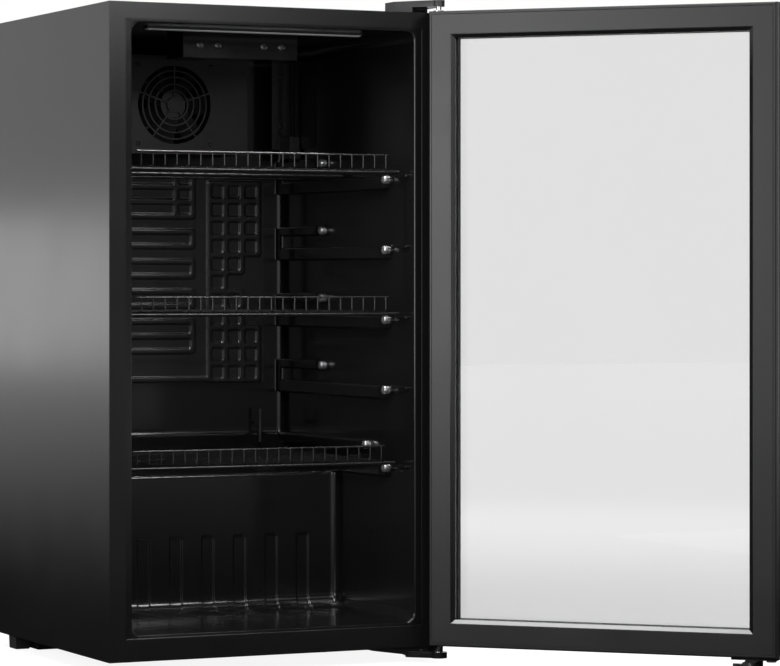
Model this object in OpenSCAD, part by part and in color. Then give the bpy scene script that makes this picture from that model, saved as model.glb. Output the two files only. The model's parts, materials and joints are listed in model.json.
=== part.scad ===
// Glass door merchandiser: an upright beverage cooler that stands with its door open.
// Millimetres. +Z is up and -Y faces the customer. The origin lies on the floor, under the
// middle of the cabinet.

/* [Cabinet] */
// Width of the steel cabinet
body_w = 470; // [460:1:520]
// Height of the steel cabinet above its feet
body_h = 850; // [840:1:950]
// Depth of the steel cabinet, from the front flange to the back panel
body_d = 475; // [470:1:540]
// Thickness of the steel sheet
sheet = 1; // [0.8:0.1:1.4]
// Width of the front flange at the sides
flange_side = 23; // [20:0.5:26]
// Width of the front flange at the top
flange_top = 22; // [20:0.5:26]
// Width of the front flange at the bottom
flange_bottom = 29; // [26:0.5:34]

/* [Liner] */
// Thickness of the plastic liner
liner_t = 2; // [1.5:0.1:3]
// Lip of the liner that shows inside the flange at the sides
lip_side = 9; // [6:0.5:12]
// Lip of the liner that shows inside the flange at the top
lip_top = 4; // [3:0.5:8]
// Lip of the liner that shows inside the flange at the bottom
lip_bottom = 5; // [3:0.5:8]
// Width of the liner's rim behind the flange
rim_lap = 8; // [5:0.5:10]
// Corner radius of the liner's opening
liner_r = 18; // [10:1:26]
// Distance from the liner's rear wall to the outside of the back panel
rear_wall = 32; // [28:1:38]
// Depth of the compressor step, to the outside of the back panel
step_d = 219; // [205:1:240]
// Height of the compressor step
step_z = 226; // [215:1:232]
// Rise of the sloped gutter behind the step
gutter_rise = 44; // [30:1:50]
// Depth of the sloped gutter
gutter_d = 45; // [35:1:50]
// Foam between the liner and the machine bay
bay_foam = 30; // [24:1:34]

/* [Step ribs] */
// Number of upright ribs on the face of the step
step_rib_n = 8; // [4:1:8]
// Width of a step rib
step_rib_w = 17.6; // [12:0.2:24]
// Distance between step ribs
step_rib_pitch = 47.7; // [40:0.1:48]
// Sideways place of the middle of the rib row
step_rib_mid = -15; // [-20:1:10]
// Height at which the step ribs end
step_rib_top = 138; // [100:1:190]
// Depth of a step rib
step_rib_out = 6; // [3:0.5:10]

/* [Ledges] */
// Number of ledges on each side
levels = 5; // [3:1:6]
// Height of the lowest peg over the compressor step
peg_low = 10; // [8:1:16]
// Distance from the highest peg to the bottom of the fan panel
peg_high = 41; // [36:1:60]
// Extra height of the lowest space between ledges
first_extra = 10.7; // [0:0.1:20]
// Radius of a peg
peg_r = 6; // [4:0.5:7]
// Length of a peg
peg_out = 12; // [8:0.5:14]
// Distance from the front to the front pegs
peg_front_y = 85; // [75:1:110]
// Distance from the liner's rear wall to the upper rear pegs
peg_rear_in = 150; // [113:1:183]
// Distance from the front to the lowest rear peg
peg_low_y = 147; // [130:1:200]
// Height of a rear peg over its front peg
peg_rise = 29; // [27:1:34]
// Depth of a ledge from the liner's wall
ledge_out = 11.5; // [9:0.5:14]
// Height of a ledge
ledge_h = 19; // [14:0.5:24]
// Height of a guide rib above the shelf
guide_h = 14; // [10:0.5:16]
// Distance from the front to the start of a ledge
ledge_y = 25; // [15:1:32]
// Clear space on each side of a peg in its pocket
peg_pocket = 7; // [4:0.5:10]

/* [Shelves] */
// Radius of the thick cross wires
cross_r = 2.5; // [2:0.1:3]
// Radius of the thin wires
wire_r = 1.1; // [0.9:0.1:1.5]
// Radius of the rail on top of the fence
rail_r = 1.6; // [1.2:0.1:2]
// Number of thin wires in a shelf
wire_n = 22; // [14:1:26]
// Distance from the outer thin wires to the faces of the ledges
wire_side = 15; // [12:0.5:26]
// Distance from the ends of the fence's rail to the faces of the ledges
rail_side = 8.5; // [4:0.5:11]
// Height of the fence over the ledge
fence_h = 27; // [18:1:32]
// Distance from the front to the upper and middle shelf
shelf_y = 40; // [38:1:44]
// Distance from the front to the bottom shelf
shelf_low_y = 54; // [38:1:56]
// Distance from the front cross wire to the middle one
cross_mid = 180; // [150:1:200]
// Distance from the rear cross wire of an upper shelf to the liner's rear wall
shelf_gap = 73; // [68:1:100]
// Length of a cross wire that lies on the ledge
shelf_lap = 2; // [1.5:0.5:4]
// Depth of a weld between two wires
weld = 0.5; // [0.3:0.1:0.7]

/* [Cooling] */
// Distance from the cooling plate's side edges to the liner's walls
plate_side = 32; // [24:1:40]
// Distance from the top of the gutter to the cooling plate
plate_low = 74; // [50:1:80]
// Distance from the cooling plate to the bottom of the fan panel
plate_high = 14; // [8:1:30]
// Thickness of the cooling plate
plate_t = 1.5; // [1:0.1:2]
// Distance from the cooling plate to the liner
plate_off = 8; // [5:0.5:12]
// Height of the raised channels on the cooling plate
channel_out = 2; // [1:0.5:3]
// Width of a channel on the cooling plate
channel_w = 7; // [4:0.5:8]
// Distance from the left edge of the cell field to the cooling plate's right edge
field_side = 89.5; // [88:0.5:96]
// Gap between the loops and the cell field
loop_gap = 18.5; // [12:0.5:24]
// Length of the small squares at the ends of the top loop's islands
square_l = 19; // [14:1:30]

/* [Fan] */
// Width of the fan panel
fan_panel_w = 218; // [200:1:240]
// Distance from the liner's ceiling to the top of the fan panel
fan_panel_drop = 17; // [14:1:20]
// Height of the fan panel
fan_panel_h = 138; // [134:1:145]
// Sideways place of the fan's axis
fan_x = -2.5; // [-10:0.5:10]
// Distance from the liner's rear wall to the front of the fan panel
fan_panel_d = 93; // [84:1:97]
// Thickness of the fan panel
fan_panel_t = 1.5; // [1:0.1:2]
// Distance from the fan panel's top to the fan's axis
fan_drop = 69; // [64:1:72]
// Radius of the opening in the fan panel
fan_r = 55; // [50:0.5:56]
// Side of the fan frame
fan_frame_w = 120; // [119:0.5:124]
// Depth of the fan frame
fan_frame_d = 25; // [22:1:30]
// Distance between the fan screws
fan_screw_pitch = 110; // [108:0.5:112]
// Radius of the fan hub
hub_r = 18; // [16:0.5:22]
// Number of fan blades
blade_n = 7; // [5:1:9]
// Radii of the grille rings
grille_rings = [20, 29, 39, 48];
// Width of a grille wire
grille_wire = 2.2; // [1.6:0.1:3]
// Radius of the disc in the middle of the grille
grille_hub = 11; // [8:0.5:14]
// Radius of the fan shaft
shaft_r = 2; // [1.5:0.1:3]

/* [Control box and light] */
// Width of the control box
control_w = 167; // [150:1:190]
// Height of the control box
control_h = 35; // [33:1:50]
// Depth of the control box
control_d = 57; // [50:1:70]
// Distance from the front to the control box
control_y = 120; // [110:1:140]
// Wall of the control box
control_t = 2; // [1.5:0.1:3]
// Length of the light bar
light_l = 312; // [280:1:340]
// Depth of the light bar
light_d = 16; // [12:1:20]
// Height of the light bar's housing
light_h = 5; // [4:0.5:8]
// Distance from the front to the middle of the light bar
light_y = 75; // [60:1:90]
// Height of the light bar's lens
lens_h = 2; // [1:0.5:3]

/* [Rear corner] */
// Width of the front-facing corner cover
corner_w = 30; // [26:1:36]
// Distance from the liner's rear wall to the front of the corner cover
corner_in = 35; // [28:1:43]
// Depth of the corner cover along the side wall
corner_d = 84; // [75:1:95]
// Thickness of the corner cover
corner_t = 2; // [1.5:0.1:3]
// Distance from the liner's ceiling to the top of the corner cover
corner_drop = 19; // [18:1:28]
// Height of the corner cover
corner_h = 125; // [115:1:126]
// Radius of the riser tube in the corner
tube_r = 3; // [2:0.5:4]
// Width of the clip box under the riser tube
clip_w = 17; // [15:1:22]
// Depth of the clip box
clip_d = 34; // [28:1:40]
// Height of the clip box
clip_h = 32; // [24:1:33]
// Height by which the corner cover and the clip box overlap
clip_lap = 18; // [12:1:25]
// Radius of the temperature probe
probe_r = 2; // [1.5:0.5:3]
// Distance from the compressor step to the bottom end of the temperature probe
probe_rise = 32; // [30:1:40]
// Length of the temperature probe
probe_l = 48; // [30:1:60]
// Distance from the temperature probe to the liner's right wall
probe_in = 42; // [36:1:46]
// Radius of the drain cup
cup_r = 14; // [11:0.5:14]
// Height of the drain cup
cup_h = 6; // [4:0.5:10]
// Distance from the middle of the drain cup to the liner's right wall
drain_in = 53; // [47:1:57]
// Radius of the drain tube
drain_r = 5; // [4:0.5:6]

/* [Machine bay] */
// Gap between the compressor tray and the rear feet
tray_gap = 2; // [1:0.5:10]
// Depth of the compressor tray from front to back
tray_d = 117; // [112:1:124]
// Depth of the compressor tray below the cabinet
tray_drop = 19; // [8:1:19]
// Thickness of the compressor tray
tray_t = 2; // [1.5:0.1:2.5]
// Sideways place of the compressor
comp_x = 90; // [85:1:95]
// Radius of the compressor shell
comp_r = 55; // [50:1:56]
// Height of the compressor shell
comp_h = 140; // [130:1:142]
// Rounding of the compressor shell
comp_round = 30; // [20:1:36]
// Height of the rubber grommets
grommet_h = 18; // [14:1:20]
// Radius of the rubber grommets
grommet_r = 11; // [10:0.5:13]
// Distance between the compressor feet from side to side
comp_foot_x = 136; // [132:1:144]
// Distance between the compressor feet from front to back
comp_foot_y = 60; // [56:1:62]
// Radius of the refrigerant pipes
pipe_r = 3.2; // [2.5:0.1:3.5]
// Height of the pipe ports over the compressor's foot plate
port_up = 90; // [60:1:105]
// Width of the start relay
relay_w = 44; // [36:1:50]
// Depth of the start relay
relay_d = 26; // [20:1:28]
// Height of the start relay
relay_h = 45; // [38:1:52]
// Height of the start relay over the compressor's foot plate
relay_up = 40; // [30:1:45]
// Height of the drip tray's wall
drip_h = 24; // [18:1:30]
// Number of slots in the rear grille
slot_n = 9; // [6:1:10]
// Height of a grille slot
slot_h = 5; // [4:0.5:7]
// Length of a grille slot
slot_l = 160; // [120:5:180]
// Bar between the two rows of grille slots
slot_bar = 20; // [10:1:40]
// Height of the lowest grille slot
slot_low = 70; // [60:1:90]
// Height between the top of the grille and its slots
slot_high = 20; // [15:1:40]
// Radius of the bore of the cord gland
gland_bore = 4; // [3:0.1:5]
// Radius of the barrel of the cord gland
gland_r = 7; // [6.5:0.1:8]

/* [Condenser] */
// Number of condenser tube runs
cond_n = 13; // [9:2:13]
// Distance between condenser tube runs
cond_pitch = 41; // [30:1:44]
// Length of a straight condenser run
cond_l = 350; // [320:1:360]
// Radius of the condenser tube
cond_r = 2.4; // [2:0.1:3]
// Distance from the back panel to the condenser tube
cond_off = 18; // [14:1:24]
// Number of condenser wires
cond_wire_n = 17; // [9:1:21]
// Width of a condenser wire
cond_wire = 1.6; // [1.2:0.1:2]
// Height of the lowest condenser run
cond_z = 250; // [230:1:270]

/* [Feet] */
// Height of the feet
foot_h = 20; // [19:1:30]
// Radius of a front foot
foot_r = 12; // [10:0.5:16]
// Radius of the stud of a foot
foot_stud = 4; // [3:0.5:5]
// Distance from the cabinet's side to the middle of a front foot
foot_in = 90; // [30:1:110]
// Distance from the front to the middle of the front feet
foot_front_y = 175; // [90:1:190]
// Distance from the cabinet's side to a rear foot
foot_side = 8.3; // [5:0.1:12]
// Width of a rear foot
foot_w = 22; // [18:0.5:26]
// Depth of a rear foot
foot_d = 29; // [20:0.5:36]
// Distance from the back of the cabinet to the middle of the rear feet
foot_rear_in = 78.5; // [45:0.5:90]

/* [Door] */
// Angle at which the door stands open
door_open = 134.7; // [90:0.1:136]
// Width by which the door is wider than the cabinet
door_over = 3; // [-4:0.5:4]
// Height of the door's bottom edge over the cabinet's bottom
door_z = 4; // [3.5:0.5:6]
// Gap between the closed gasket and the cabinet
door_gap = 0.5; // [0.4:0.1:1]
// Thickness of the flat magnetic gasket
gasket_t = 8; // [7:0.5:9]
// Width of the flat band that the gasket shows
gasket_w = 31; // [28:0.5:33]
// Setback of the gasket from the frame's edge
gasket_in = 1.5; // [1.4:0.1:3]
// Rounding of the gasket's outer edge
gasket_round = 4; // [3.8:0.1:6]
// Thickness of the door frame
frame_t = 30; // [29:0.5:31]
// Width of the door frame behind the gasket
frame_w = 22; // [21:0.5:24]
// Width of the door frame's front lip
frame_lip = 33; // [30:0.5:35]
// Wall of the door frame
frame_wall = 2; // [1.5:0.1:2.5]
// Width of the bevel between the gasket and the glass
bevel_w = 5.8; // [4:0.1:7]
// Depth of the bevel
bevel_d = 3.6; // [2:0.1:5]
// Thickness of a glass pane
pane_t = 4; // [3:0.5:4]
// Width of the space between the panes
pane_gap = 12; // [10:0.5:12]
// Distance from the door's edge to the edge of the panes
pane_in = 24; // [23.5:0.5:26]
// Depth of the finger grip in the free edge
grip_d = 9; // [6:0.5:10]
// Width of the finger grip
grip_w = 14; // [12:0.5:15]

/* [Hinges] */
// Distance from the hinge edge of the door to the hinge pins
hinge_in = 8; // [7.5:0.1:8.5]
// Distance from the cabinet's front to the hinge pins
hinge_out = 21; // [20.8:0.1:23]
// Radius of the hinge pins
pin_r = 3.5; // [3:0.1:3.8]
// Radius of the hinge bushes
bush_r = 5; // [4.6:0.1:5.2]
// Length of a hinge bush inside the door
bush_l = 14; // [12:0.5:16]
// Height of the bush flange
bush_flange = 1.5; // [1:0.1:2]
// Gap between the door and the top hinge bracket
hinge_gap = 7; // [5:0.5:9]
// Thickness of the top hinge bracket
bracket_t = 3; // [2.5:0.1:4]
// Width of the top hinge bracket
bracket_w = 50; // [48:1:70]
// Depth of the top hinge bracket on the cabinet
bracket_d = 52; // [52:1:70]
// Distance from the cabinet's front to the point where the top bracket starts to narrow
bracket_neck = 27; // [20:1:30]
// Radius of the top bracket's boss
boss_r = 6; // [5.5:0.5:8]
// Thickness of the top hinge cover
cover_t = 1.5; // [1:0.1:2]
// Height of the space between the top bracket and its cover
cover_rise = 4; // [3:0.5:6]
// Drop of the bottom hinge bracket below the cabinet
low_drop = 13; // [10:0.5:14]
// Thickness of the bottom hinge arm
low_arm_t = 8; // [5:0.5:8]
// Width of the bottom hinge bracket
low_w = 95; // [80:1:110]
// Radius of the end of the bottom hinge arm
low_arm_r = 11; // [9:0.5:12]

/* [Lock] */
// Width of the lock bracket under the door
lock_w = 60; // [50:1:70]
// Thickness of the lock bracket
lock_t = 3; // [2:0.1:3]
// Distance from the free edge to the lock
lock_x = 35; // [30:1:40]
// Width of the lock case
lock_case_w = 17; // [16:0.5:20]
// Drop of the lock case below the cabinet
lock_drop = 15; // [14.5:0.5:17]
// Radius of the lock plug
lock_r = 6; // [5:0.1:6]
// Length of the lock cam
cam_l = 20; // [18:0.5:20]
// Width of the lock cam
cam_w = 10; // [8:0.5:11]
// Thickness of the lock cam
cam_t = 3; // [2:0.1:3.5]

/* [Fits] */
// Running clearance of pins, shafts and studs
run = 0.05; // [0.03:0.01:0.1]
// Clearance between parts that lie on each other and move
ease = 0.3; // [0.3:0.05:0.5]
// Clearance of a fixed pin, bush or screw in its hole
snug = 0.02; // [0.01:0.01:0.1]
// Radius of the small screws
screw_r = 1.8; // [1.5:0.1:2]
// Radius of the hinge and lock screws
bolt_r = 3; // [2.5:0.1:3]

/* [Hidden] */

$fn = 48;
// Overshoot of cuts, so that no skin is left
cut = 1;

// Cabinet and liner
half_w = body_w / 2;
shell_in = half_w - sheet;
air_w = half_w - flange_side - lip_side;
air_low = flange_bottom + lip_bottom;
air_top = body_h - flange_top - lip_top;
air_back = body_d - rear_wall;
gutter_y = air_back - gutter_d;
step_y = body_d - step_d;
bay_y = step_y + liner_t + bay_foam;
bay_z = step_z - liner_t - bay_foam;
ledge_x = air_w - ledge_out;

// Fan panel, ledges and shelves
fan_panel_z = air_top - fan_panel_drop - fan_panel_h;
fan_panel_y = air_back - fan_panel_d;
fan_z = fan_panel_z + fan_panel_h - fan_drop;
peg_first = step_z + peg_low;
peg_last = fan_panel_z - peg_high;
peg_pitch = (peg_last - peg_first - first_extra) / (levels - 1);
peg_levels = [for (i = [0 : levels - 1]) i == 0 ? peg_first : peg_last - (levels - 1 - i) * peg_pitch];
peg_rear_y = air_back - peg_rear_in;
wire_span = 2 * (ledge_x - wire_side);
rail_l = 2 * (ledge_x - rail_side);
cross_rear = air_back - shelf_gap - shelf_y;
cross_z = peg_r + ease + cross_r;
wire_z = cross_z + cross_r + wire_r - weld;
fence_y = -cross_r - wire_r + weld;
rail_z = peg_r + fence_h - rail_r;
cross_half = ledge_x + shelf_lap;

// Fan
fan_back = fan_panel_y + fan_panel_t + fan_frame_d;
fan_strut = 3;
rotor_front = fan_panel_y + fan_panel_t + 3;
rotor_back = fan_back - fan_strut - ease;

// Rear corner, probe and drain
corner_y = air_back - corner_in;
corner_z = air_top - corner_drop - corner_h;
clip_top = corner_z + clip_lap;
probe_x = air_w - probe_in;
probe_z = step_z + probe_rise;
drain_x = air_w - drain_in;

// Machine bay
comp_gap = 5;
comp_y = body_d - comp_r - comp_gap;
tray_w = 2 * (half_w - foot_side - foot_w - tray_gap);
tray_y = body_d - sheet - tray_d;
foot_front_x = half_w - foot_in;
foot_rear_x = half_w - foot_side - foot_w / 2;
foot_rear_y = body_d - foot_rear_in;
relay_gap = 8;
tray_floor = tray_t - tray_drop;
comp_z = tray_floor + grommet_h;
comp_top = comp_z + comp_h;
comp_plate = 3;
port_z = comp_z + port_up;
port_l = 8;
suction_x = 5;
suction_y = air_back + rear_wall / 2;
plate_w = 2 * (air_w - plate_side);
plate_z = step_z + gutter_rise + plate_low;
plate_h = fan_panel_z - plate_high - plate_z;
suction_z = plate_z + 10;
drain_y = gutter_y - cup_r - 1;
cond_y = body_d + cond_off;
cond_top = cond_z + (cond_n - 1) * cond_pitch;
cond_side = cond_l / 2 + cond_pitch / 2 + 4;
drier_x = -150;
drier_y = body_d - 40;
drier_z = port_z + 8;
outlet_up = 20;
gland_x = -90;
gland_z = 45;

// Door, in its closed place
door_w = body_w + door_over;
door_x1 = half_w;
door_x0 = door_x1 - door_w;
door_h = body_h - door_z;
door_t = gasket_t + frame_t;
bevel_in = gasket_w + bevel_w;
bead_v = gasket_t + frame_t - 6 - 2 * pane_t - pane_gap;
lip_v = door_t - 6;
hinge_x = door_x1 - hinge_in;
lock_axis_x = door_x0 + lock_x;
lock_axis_z = -lock_drop + lock_case_w / 2;
case_back = 8;
cam_y = case_back + ease;

// Colours
black_steel = [0.09, 0.09, 0.095];
black_plastic = [0.06, 0.06, 0.062];
dark_grey = [0.2, 0.2, 0.21];
bright = [0.78, 0.78, 0.8];
zinc = [0.62, 0.63, 0.65];
copper = [0.72, 0.42, 0.28];

// Puts what is modelled in cabinet coordinates (x from the middle, y from the front flange,
// z from the cabinet's bottom) in its place on the feet.
module place() {
    translate([0, -body_d / 2, foot_h]) children();
}

// Turns what is modelled with the door closed to the angle at which the door stands open.
module swing() {
    place() translate([hinge_x, -hinge_out, 0]) rotate([0, 0, door_open])
        translate([-hinge_x, hinge_out, 0]) children();
}

// A box between two opposite corners.
module block(low, high) {
    translate(low) cube(high - low);
}

// A cylinder that runs from one height to another.
module rod_z(x, y, z0, z1, r) {
    translate([x, y, z0]) cylinder(h = z1 - z0, r = r);
}

// A cylinder that runs from front to back.
module rod_y(x, z, y0, y1, r) {
    translate([x, y1, z]) rotate([90, 0, 0]) cylinder(h = y1 - y0, r = r);
}

// A cylinder that runs from left to right.
module rod_x(y, z, x0, x1, r) {
    translate([x0, y, z]) rotate([0, 90, 0]) cylinder(h = x1 - x0, r = r);
}

// A flat outline in X and Z, carried from front to back.
module along_y(y0, y1) {
    translate([0, y1, 0]) rotate([90, 0, 0]) linear_extrude(y1 - y0) children();
}

// A flat outline in Y and Z, carried from left to right.
module along_x(x0, x1) {
    translate([x0, 0, 0]) rotate([90, 0, 90]) linear_extrude(x1 - x0) children();
}

// A rectangle with round corners.
module round_rect(low, high, r) {
    translate([low[0] + r, low[1]]) square([high[0] - low[0] - 2 * r, high[1] - low[1]]);
    translate([low[0], low[1] + r]) square([high[0] - low[0], high[1] - low[1] - 2 * r]);
    for (x = [low[0] + r, high[0] - r], y = [low[1] + r, high[1] - r])
        translate([x, y]) circle(r);
}

// A pipe that follows straight stretches with round corners between them.
module pipe(points, r) {
    for (i = [0 : len(points) - 2]) {
        a = points[i];
        b = points[i + 1];
        d = b - a;
        l = norm(d);
        translate(a) rotate([0, acos(d[2] / l), atan2(d[1], d[0])]) cylinder(h = l, r = r);
    }
    for (i = [1 : 1 : len(points) - 2]) translate(points[i]) sphere(r);
}

// A screw whose head lies above z = 0 and whose shank goes down from it.
module screw(head_r, head_h, shank_r, shank_l) {
    cylinder(h = head_h, r = head_r);
    translate([0, 0, -shank_l]) cylinder(h = shank_l + cut / 2, r = shank_r);
}

// The space inside the liner, grown outwards by a wall.
module air_space(wall, front) {
    intersection() {
        along_y(front, air_back + wall)
            round_rect([-air_w - wall, air_low - wall], [air_w + wall, air_top + wall],
                liner_r + wall);
        along_x(-half_w, half_w)
            polygon([[front, air_low - wall], [step_y + wall, air_low - wall],
                [step_y + wall, step_z - wall], [gutter_y, step_z - wall],
                [air_back + wall, step_z + gutter_rise - wall],
                [air_back + wall, air_top + wall], [front, air_top + wall]]);
    }
}

// ---- Cabinet ----

// Steel sides, top and front flange, in one wrapper that is open at the back and the bottom.
module outer_shell() color(black_steel) place() difference() {
    block([-half_w, 0, 0], [half_w, body_d, body_h]);
    block([-shell_in, sheet, -cut], [shell_in, body_d + cut, body_h - sheet]);
    along_y(-cut, sheet + cut)
        round_rect([-half_w + flange_side, flange_bottom],
            [half_w - flange_side, body_h - flange_top], liner_r + lip_top);
    top_screw_places() translate([0, 0, -sheet - cut]) cylinder(h = sheet + 2 * cut, r = bolt_r + snug);
}

// Bottom sheet with the opening over the compressor tray and a threaded boss for each foot.
boss_h = 14;
boss_wall = 4;
tray_rim = 6;
module base_frame() color(black_steel) place() difference() {
    union() {
        block([-shell_in, sheet, 0], [shell_in, body_d, sheet]);
        foot_places() cylinder(h = boss_h, r = foot_stud + boss_wall);
    }
    block([-tray_w / 2 + tray_rim, tray_y + tray_rim, -cut],
        [tray_w / 2 - tray_rim, body_d - 2 * tray_rim, sheet + cut]);
    foot_places() translate([0, 0, -cut]) cylinder(h = boss_h + 2 * cut, r = foot_stud + run);
    low_screw_places() translate([0, 0, -cut]) cylinder(h = sheet + 2 * cut, r = bolt_r + snug);
    cam_slot(sheet + cut);
}

// Slot behind the front flange that takes the turned lock cam.
cam_play = 3;
module cam_slot(height) {
    block([lock_axis_x - cam_w / 2 - cam_play, cam_y - cam_play, -cut],
        [lock_axis_x + cam_l + cam_play, cam_y + cam_t + cam_play, height]);
}

module foot_places() {
    for (side = [-1, 1], p = [[foot_front_x, foot_front_y], [foot_rear_x, foot_rear_y]])
        translate([side * p[0], p[1], 0]) children();
}

// Rear sheet that bends in over the machine bay and down its front.
module back_panel() color(dark_grey) place() difference() {
    along_x(-shell_in, shell_in)
        polygon([[bay_y, sheet], [bay_y + sheet, sheet], [bay_y + sheet, bay_z - sheet],
            [body_d, bay_z - sheet], [body_d, body_h - sheet], [body_d - sheet, body_h - sheet],
            [body_d - sheet, bay_z], [bay_y, bay_z]]);
    rod_z(drain_x, drain_y, bay_z - 2 * cut, bay_z + cut, drain_r + snug);
    suction_line(pipe_r + snug);
}

// Foam between the steel and the liner.
module insulation() color([0.85, 0.8, 0.6]) place() difference() {
    block([-shell_in, sheet + liner_t, sheet], [shell_in, body_d - sheet, body_h - sheet]);
    air_space(liner_t, sheet);
    block([-half_w, bay_y, -cut], [half_w, body_d + cut, bay_z]);
    foot_places() cylinder(h = boss_h + ease, r = foot_stud + boss_wall + ease);
    cam_slot(lock_axis_z + cam_l + cam_play);
    rod_z(drain_x, drain_y, bay_z - cut, step_z, drain_r + snug);
    suction_line(pipe_r + snug);
    top_screw_places() translate([0, 0, -3 * sheet]) cylinder(h = 3 * sheet, r = bolt_r + snug);
    corner_wall_screws() cylinder(h = 2 * corner_screw_l, r = screw_r + snug, center = true);
}

// Moulded liner: walls, compressor step, front rim, shelf ledges and the ribs of the step.
module inner_liner() color(black_plastic) place() difference() {
    union() {
        difference() {
            union() {
                air_space(liner_t, sheet);
                along_y(sheet, sheet + liner_t)
                    round_rect([-half_w + flange_side - rim_lap, flange_bottom - rim_lap],
                        [half_w - flange_side + rim_lap, body_h - flange_top + rim_lap], liner_r);
            }
            air_space(0, -cut);
        }
        for (side = [-1, 1], i = [0 : levels - 1]) ledge(side, i);
        for (i = [0 : step_rib_n - 1]) {
            x = step_rib_mid + (i - (step_rib_n - 1) / 2) * step_rib_pitch;
            block([x - step_rib_w / 2, step_y - step_rib_out, air_low - liner_t / 2],
                [x + step_rib_w / 2, step_y + liner_t / 2, step_rib_top]);
        }
    }
    rod_z(drain_x, drain_y, step_z - liner_t - cut, step_z + cut, drain_r + snug);
    suction_line(pipe_r + snug);
    corner_wall_screws() cylinder(h = 2 * corner_screw_l, r = screw_r + snug, center = true);
}

function rear_peg_y(i) = i == 0 ? peg_low_y : peg_rear_y;

// One ledge with its pocket for the front peg, its guide rib and the upright that joins them.
module ledge(side, i) {
    z = peg_levels[i] + peg_r;
    guide_z = peg_levels[i] + peg_rise;
    pocket = peg_r + peg_pocket;
    wall_x = air_w + liner_t / 2;
    mirror([side < 0 ? 1 : 0, 0, 0]) intersection() {
        union() {
            block([ledge_x, ledge_y, z - ledge_h], [wall_x, peg_front_y - pocket, z]);
            block([ledge_x, peg_front_y + pocket, z - ledge_h], [wall_x, air_back, z]);
            block([ledge_x, rear_peg_y(i) + pocket, guide_z - guide_h / 2],
                [wall_x, air_back, guide_z + guide_h / 2]);
            block([ledge_x, air_back - ledge_h, z - ledge_h],
                [wall_x, air_back, guide_z + guide_h / 2]);
        }
        air_space(liner_t / 2, sheet);
    }
}

// Pegs in the pockets of the ledges and at the ends of the guide ribs.
module shelf_pegs() color(bright) place()
    for (side = [-1, 1], i = [0 : levels - 1]) mirror([side < 0 ? 1 : 0, 0, 0]) {
        rod_x(peg_front_y, peg_levels[i], air_w - peg_out, air_w, peg_r);
        rod_x(rear_peg_y(i), peg_levels[i] + peg_rise, air_w - peg_out, air_w, peg_r);
    }

// ---- Cooling and air ----

// Roll-bonded plate on four posts. Its raised channels run round flat cells and flat islands.
cell_rows = [3, 3, 3, 3, 2, 1, 2, 2, 3, 3, 3];
loops = [[0, 2], [4, 4], [6, 6], [8, 8], [10, 11]];
cell_in = 36;
cell_end = 15;
island_in = 19;
island_end = 56.6;
cell_pitch = (plate_h - cell_in - cell_end) / (len(cell_rows) - 1);
cell = cell_pitch - channel_w - 1;
island_pitch = (plate_h - island_in - island_end) / loops[len(loops) - 1][1];
island_h = island_pitch - channel_w - 0.4;
field_x = plate_w / 2 - field_side;
loop_x = field_x - loop_gap;
short_x = loop_x - 2 * channel_w - square_l;
cell_x = field_x + channel_w + cell / 2;
cell_top = plate_z + plate_h - cell_in;
island_top = plate_z + plate_h - island_in;
plate_edge = 12;
face_y = air_back - plate_off - plate_t;
module cooling_plate() color(dark_grey) place() {
    block([-plate_w / 2, face_y, plate_z], [plate_w / 2, face_y + plate_t, plate_z + plate_h]);
    for (x = [-plate_w / 2 + plate_edge, plate_w / 2 - plate_edge],
            z = [plate_z + plate_edge, plate_z + plate_h - plate_edge])
        rod_y(x, z, face_y + plate_t / 2, air_back, 4);
    difference() {
        for (row = [0 : len(cell_rows) - 1]) {
            z = cell_top - row * cell_pitch;
            raised(field_x, cell_x + (cell_rows[row] - 1) * cell_pitch + cell / 2 + channel_w,
                z - cell_pitch / 2 - 2, z + cell_pitch / 2 + 2, 0);
        }
        for (row = [0 : len(cell_rows) - 1], col = [0 : cell_rows[row] - 1]) {
            x = cell_x + col * cell_pitch;
            z = cell_top - row * cell_pitch;
            raised(x - cell / 2, x + cell / 2, z - cell / 2, z + cell / 2, cut);
        }
    }
    raised(12 - plate_w / 2, field_x + 1, plate_z + 2, plate_z + 2 + channel_w, 0);
    for (loop = loops) difference() {
        raised(12 - plate_w / 2, loop_x, island_z(loop[1]) - island_h / 2 - channel_w,
            island_z(loop[0]) + island_h / 2 + channel_w, 0);
        for (i = [loop[0] : loop[1]]) island(i, loop[0] == 0);
    }
}

function island_z(i) = island_top - i * island_pitch;

// One flat island of a loop. In the top loop a gap cuts its end off as a small square.
module island(i, parted) {
    low = island_z(i) - island_h / 2;
    left = 12 - plate_w / 2 + channel_w;
    raised(left, parted ? short_x : loop_x - channel_w, low, low + island_h, cut);
    if (parted) raised(short_x + channel_w, loop_x - channel_w, low, low + island_h, cut);
}

// A raised patch on the front of the cooling plate, or the space of one that is cut away.
module raised(x0, x1, z0, z1, over) {
    block([x0, face_y - channel_out - over, z0], [x1, face_y + (over > 0 ? 0 : plate_t / 2), z1]);
}

// Sheet box in front of the fan, open at the bottom and the rear, with a round grille.
module fan_panel() color(black_plastic) place() {
    x = fan_panel_w / 2;
    y = fan_panel_y;
    t = fan_panel_t;
    top = fan_panel_z + fan_panel_h;
    difference() {
        block([-x, y, fan_panel_z], [x, air_back, top]);
        block([-x + t, y + t, fan_panel_z - cut], [x - t, air_back + cut, top - t]);
        rod_y(fan_x, fan_z, y - cut, y + 2 * cut, fan_r);
        fan_screw_places() rotate([90, 0, 0]) cylinder(h = 4 * cut, r = screw_r + snug, center = true);
    }
    for (r = grille_rings) along_y(y, y + grille_wire) translate([fan_x, fan_z]) difference() {
        circle(r + grille_wire / 2);
        circle(r - grille_wire / 2);
    }
    rod_y(fan_x, fan_z, y, y + grille_wire, grille_hub);
    for (i = [0 : 4]) translate([fan_x, y, fan_z]) rotate([0, i * 72 - 90, 0])
        block([0, 0, -grille_wire / 2], [fan_r + 1, t, grille_wire / 2]);
}

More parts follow.
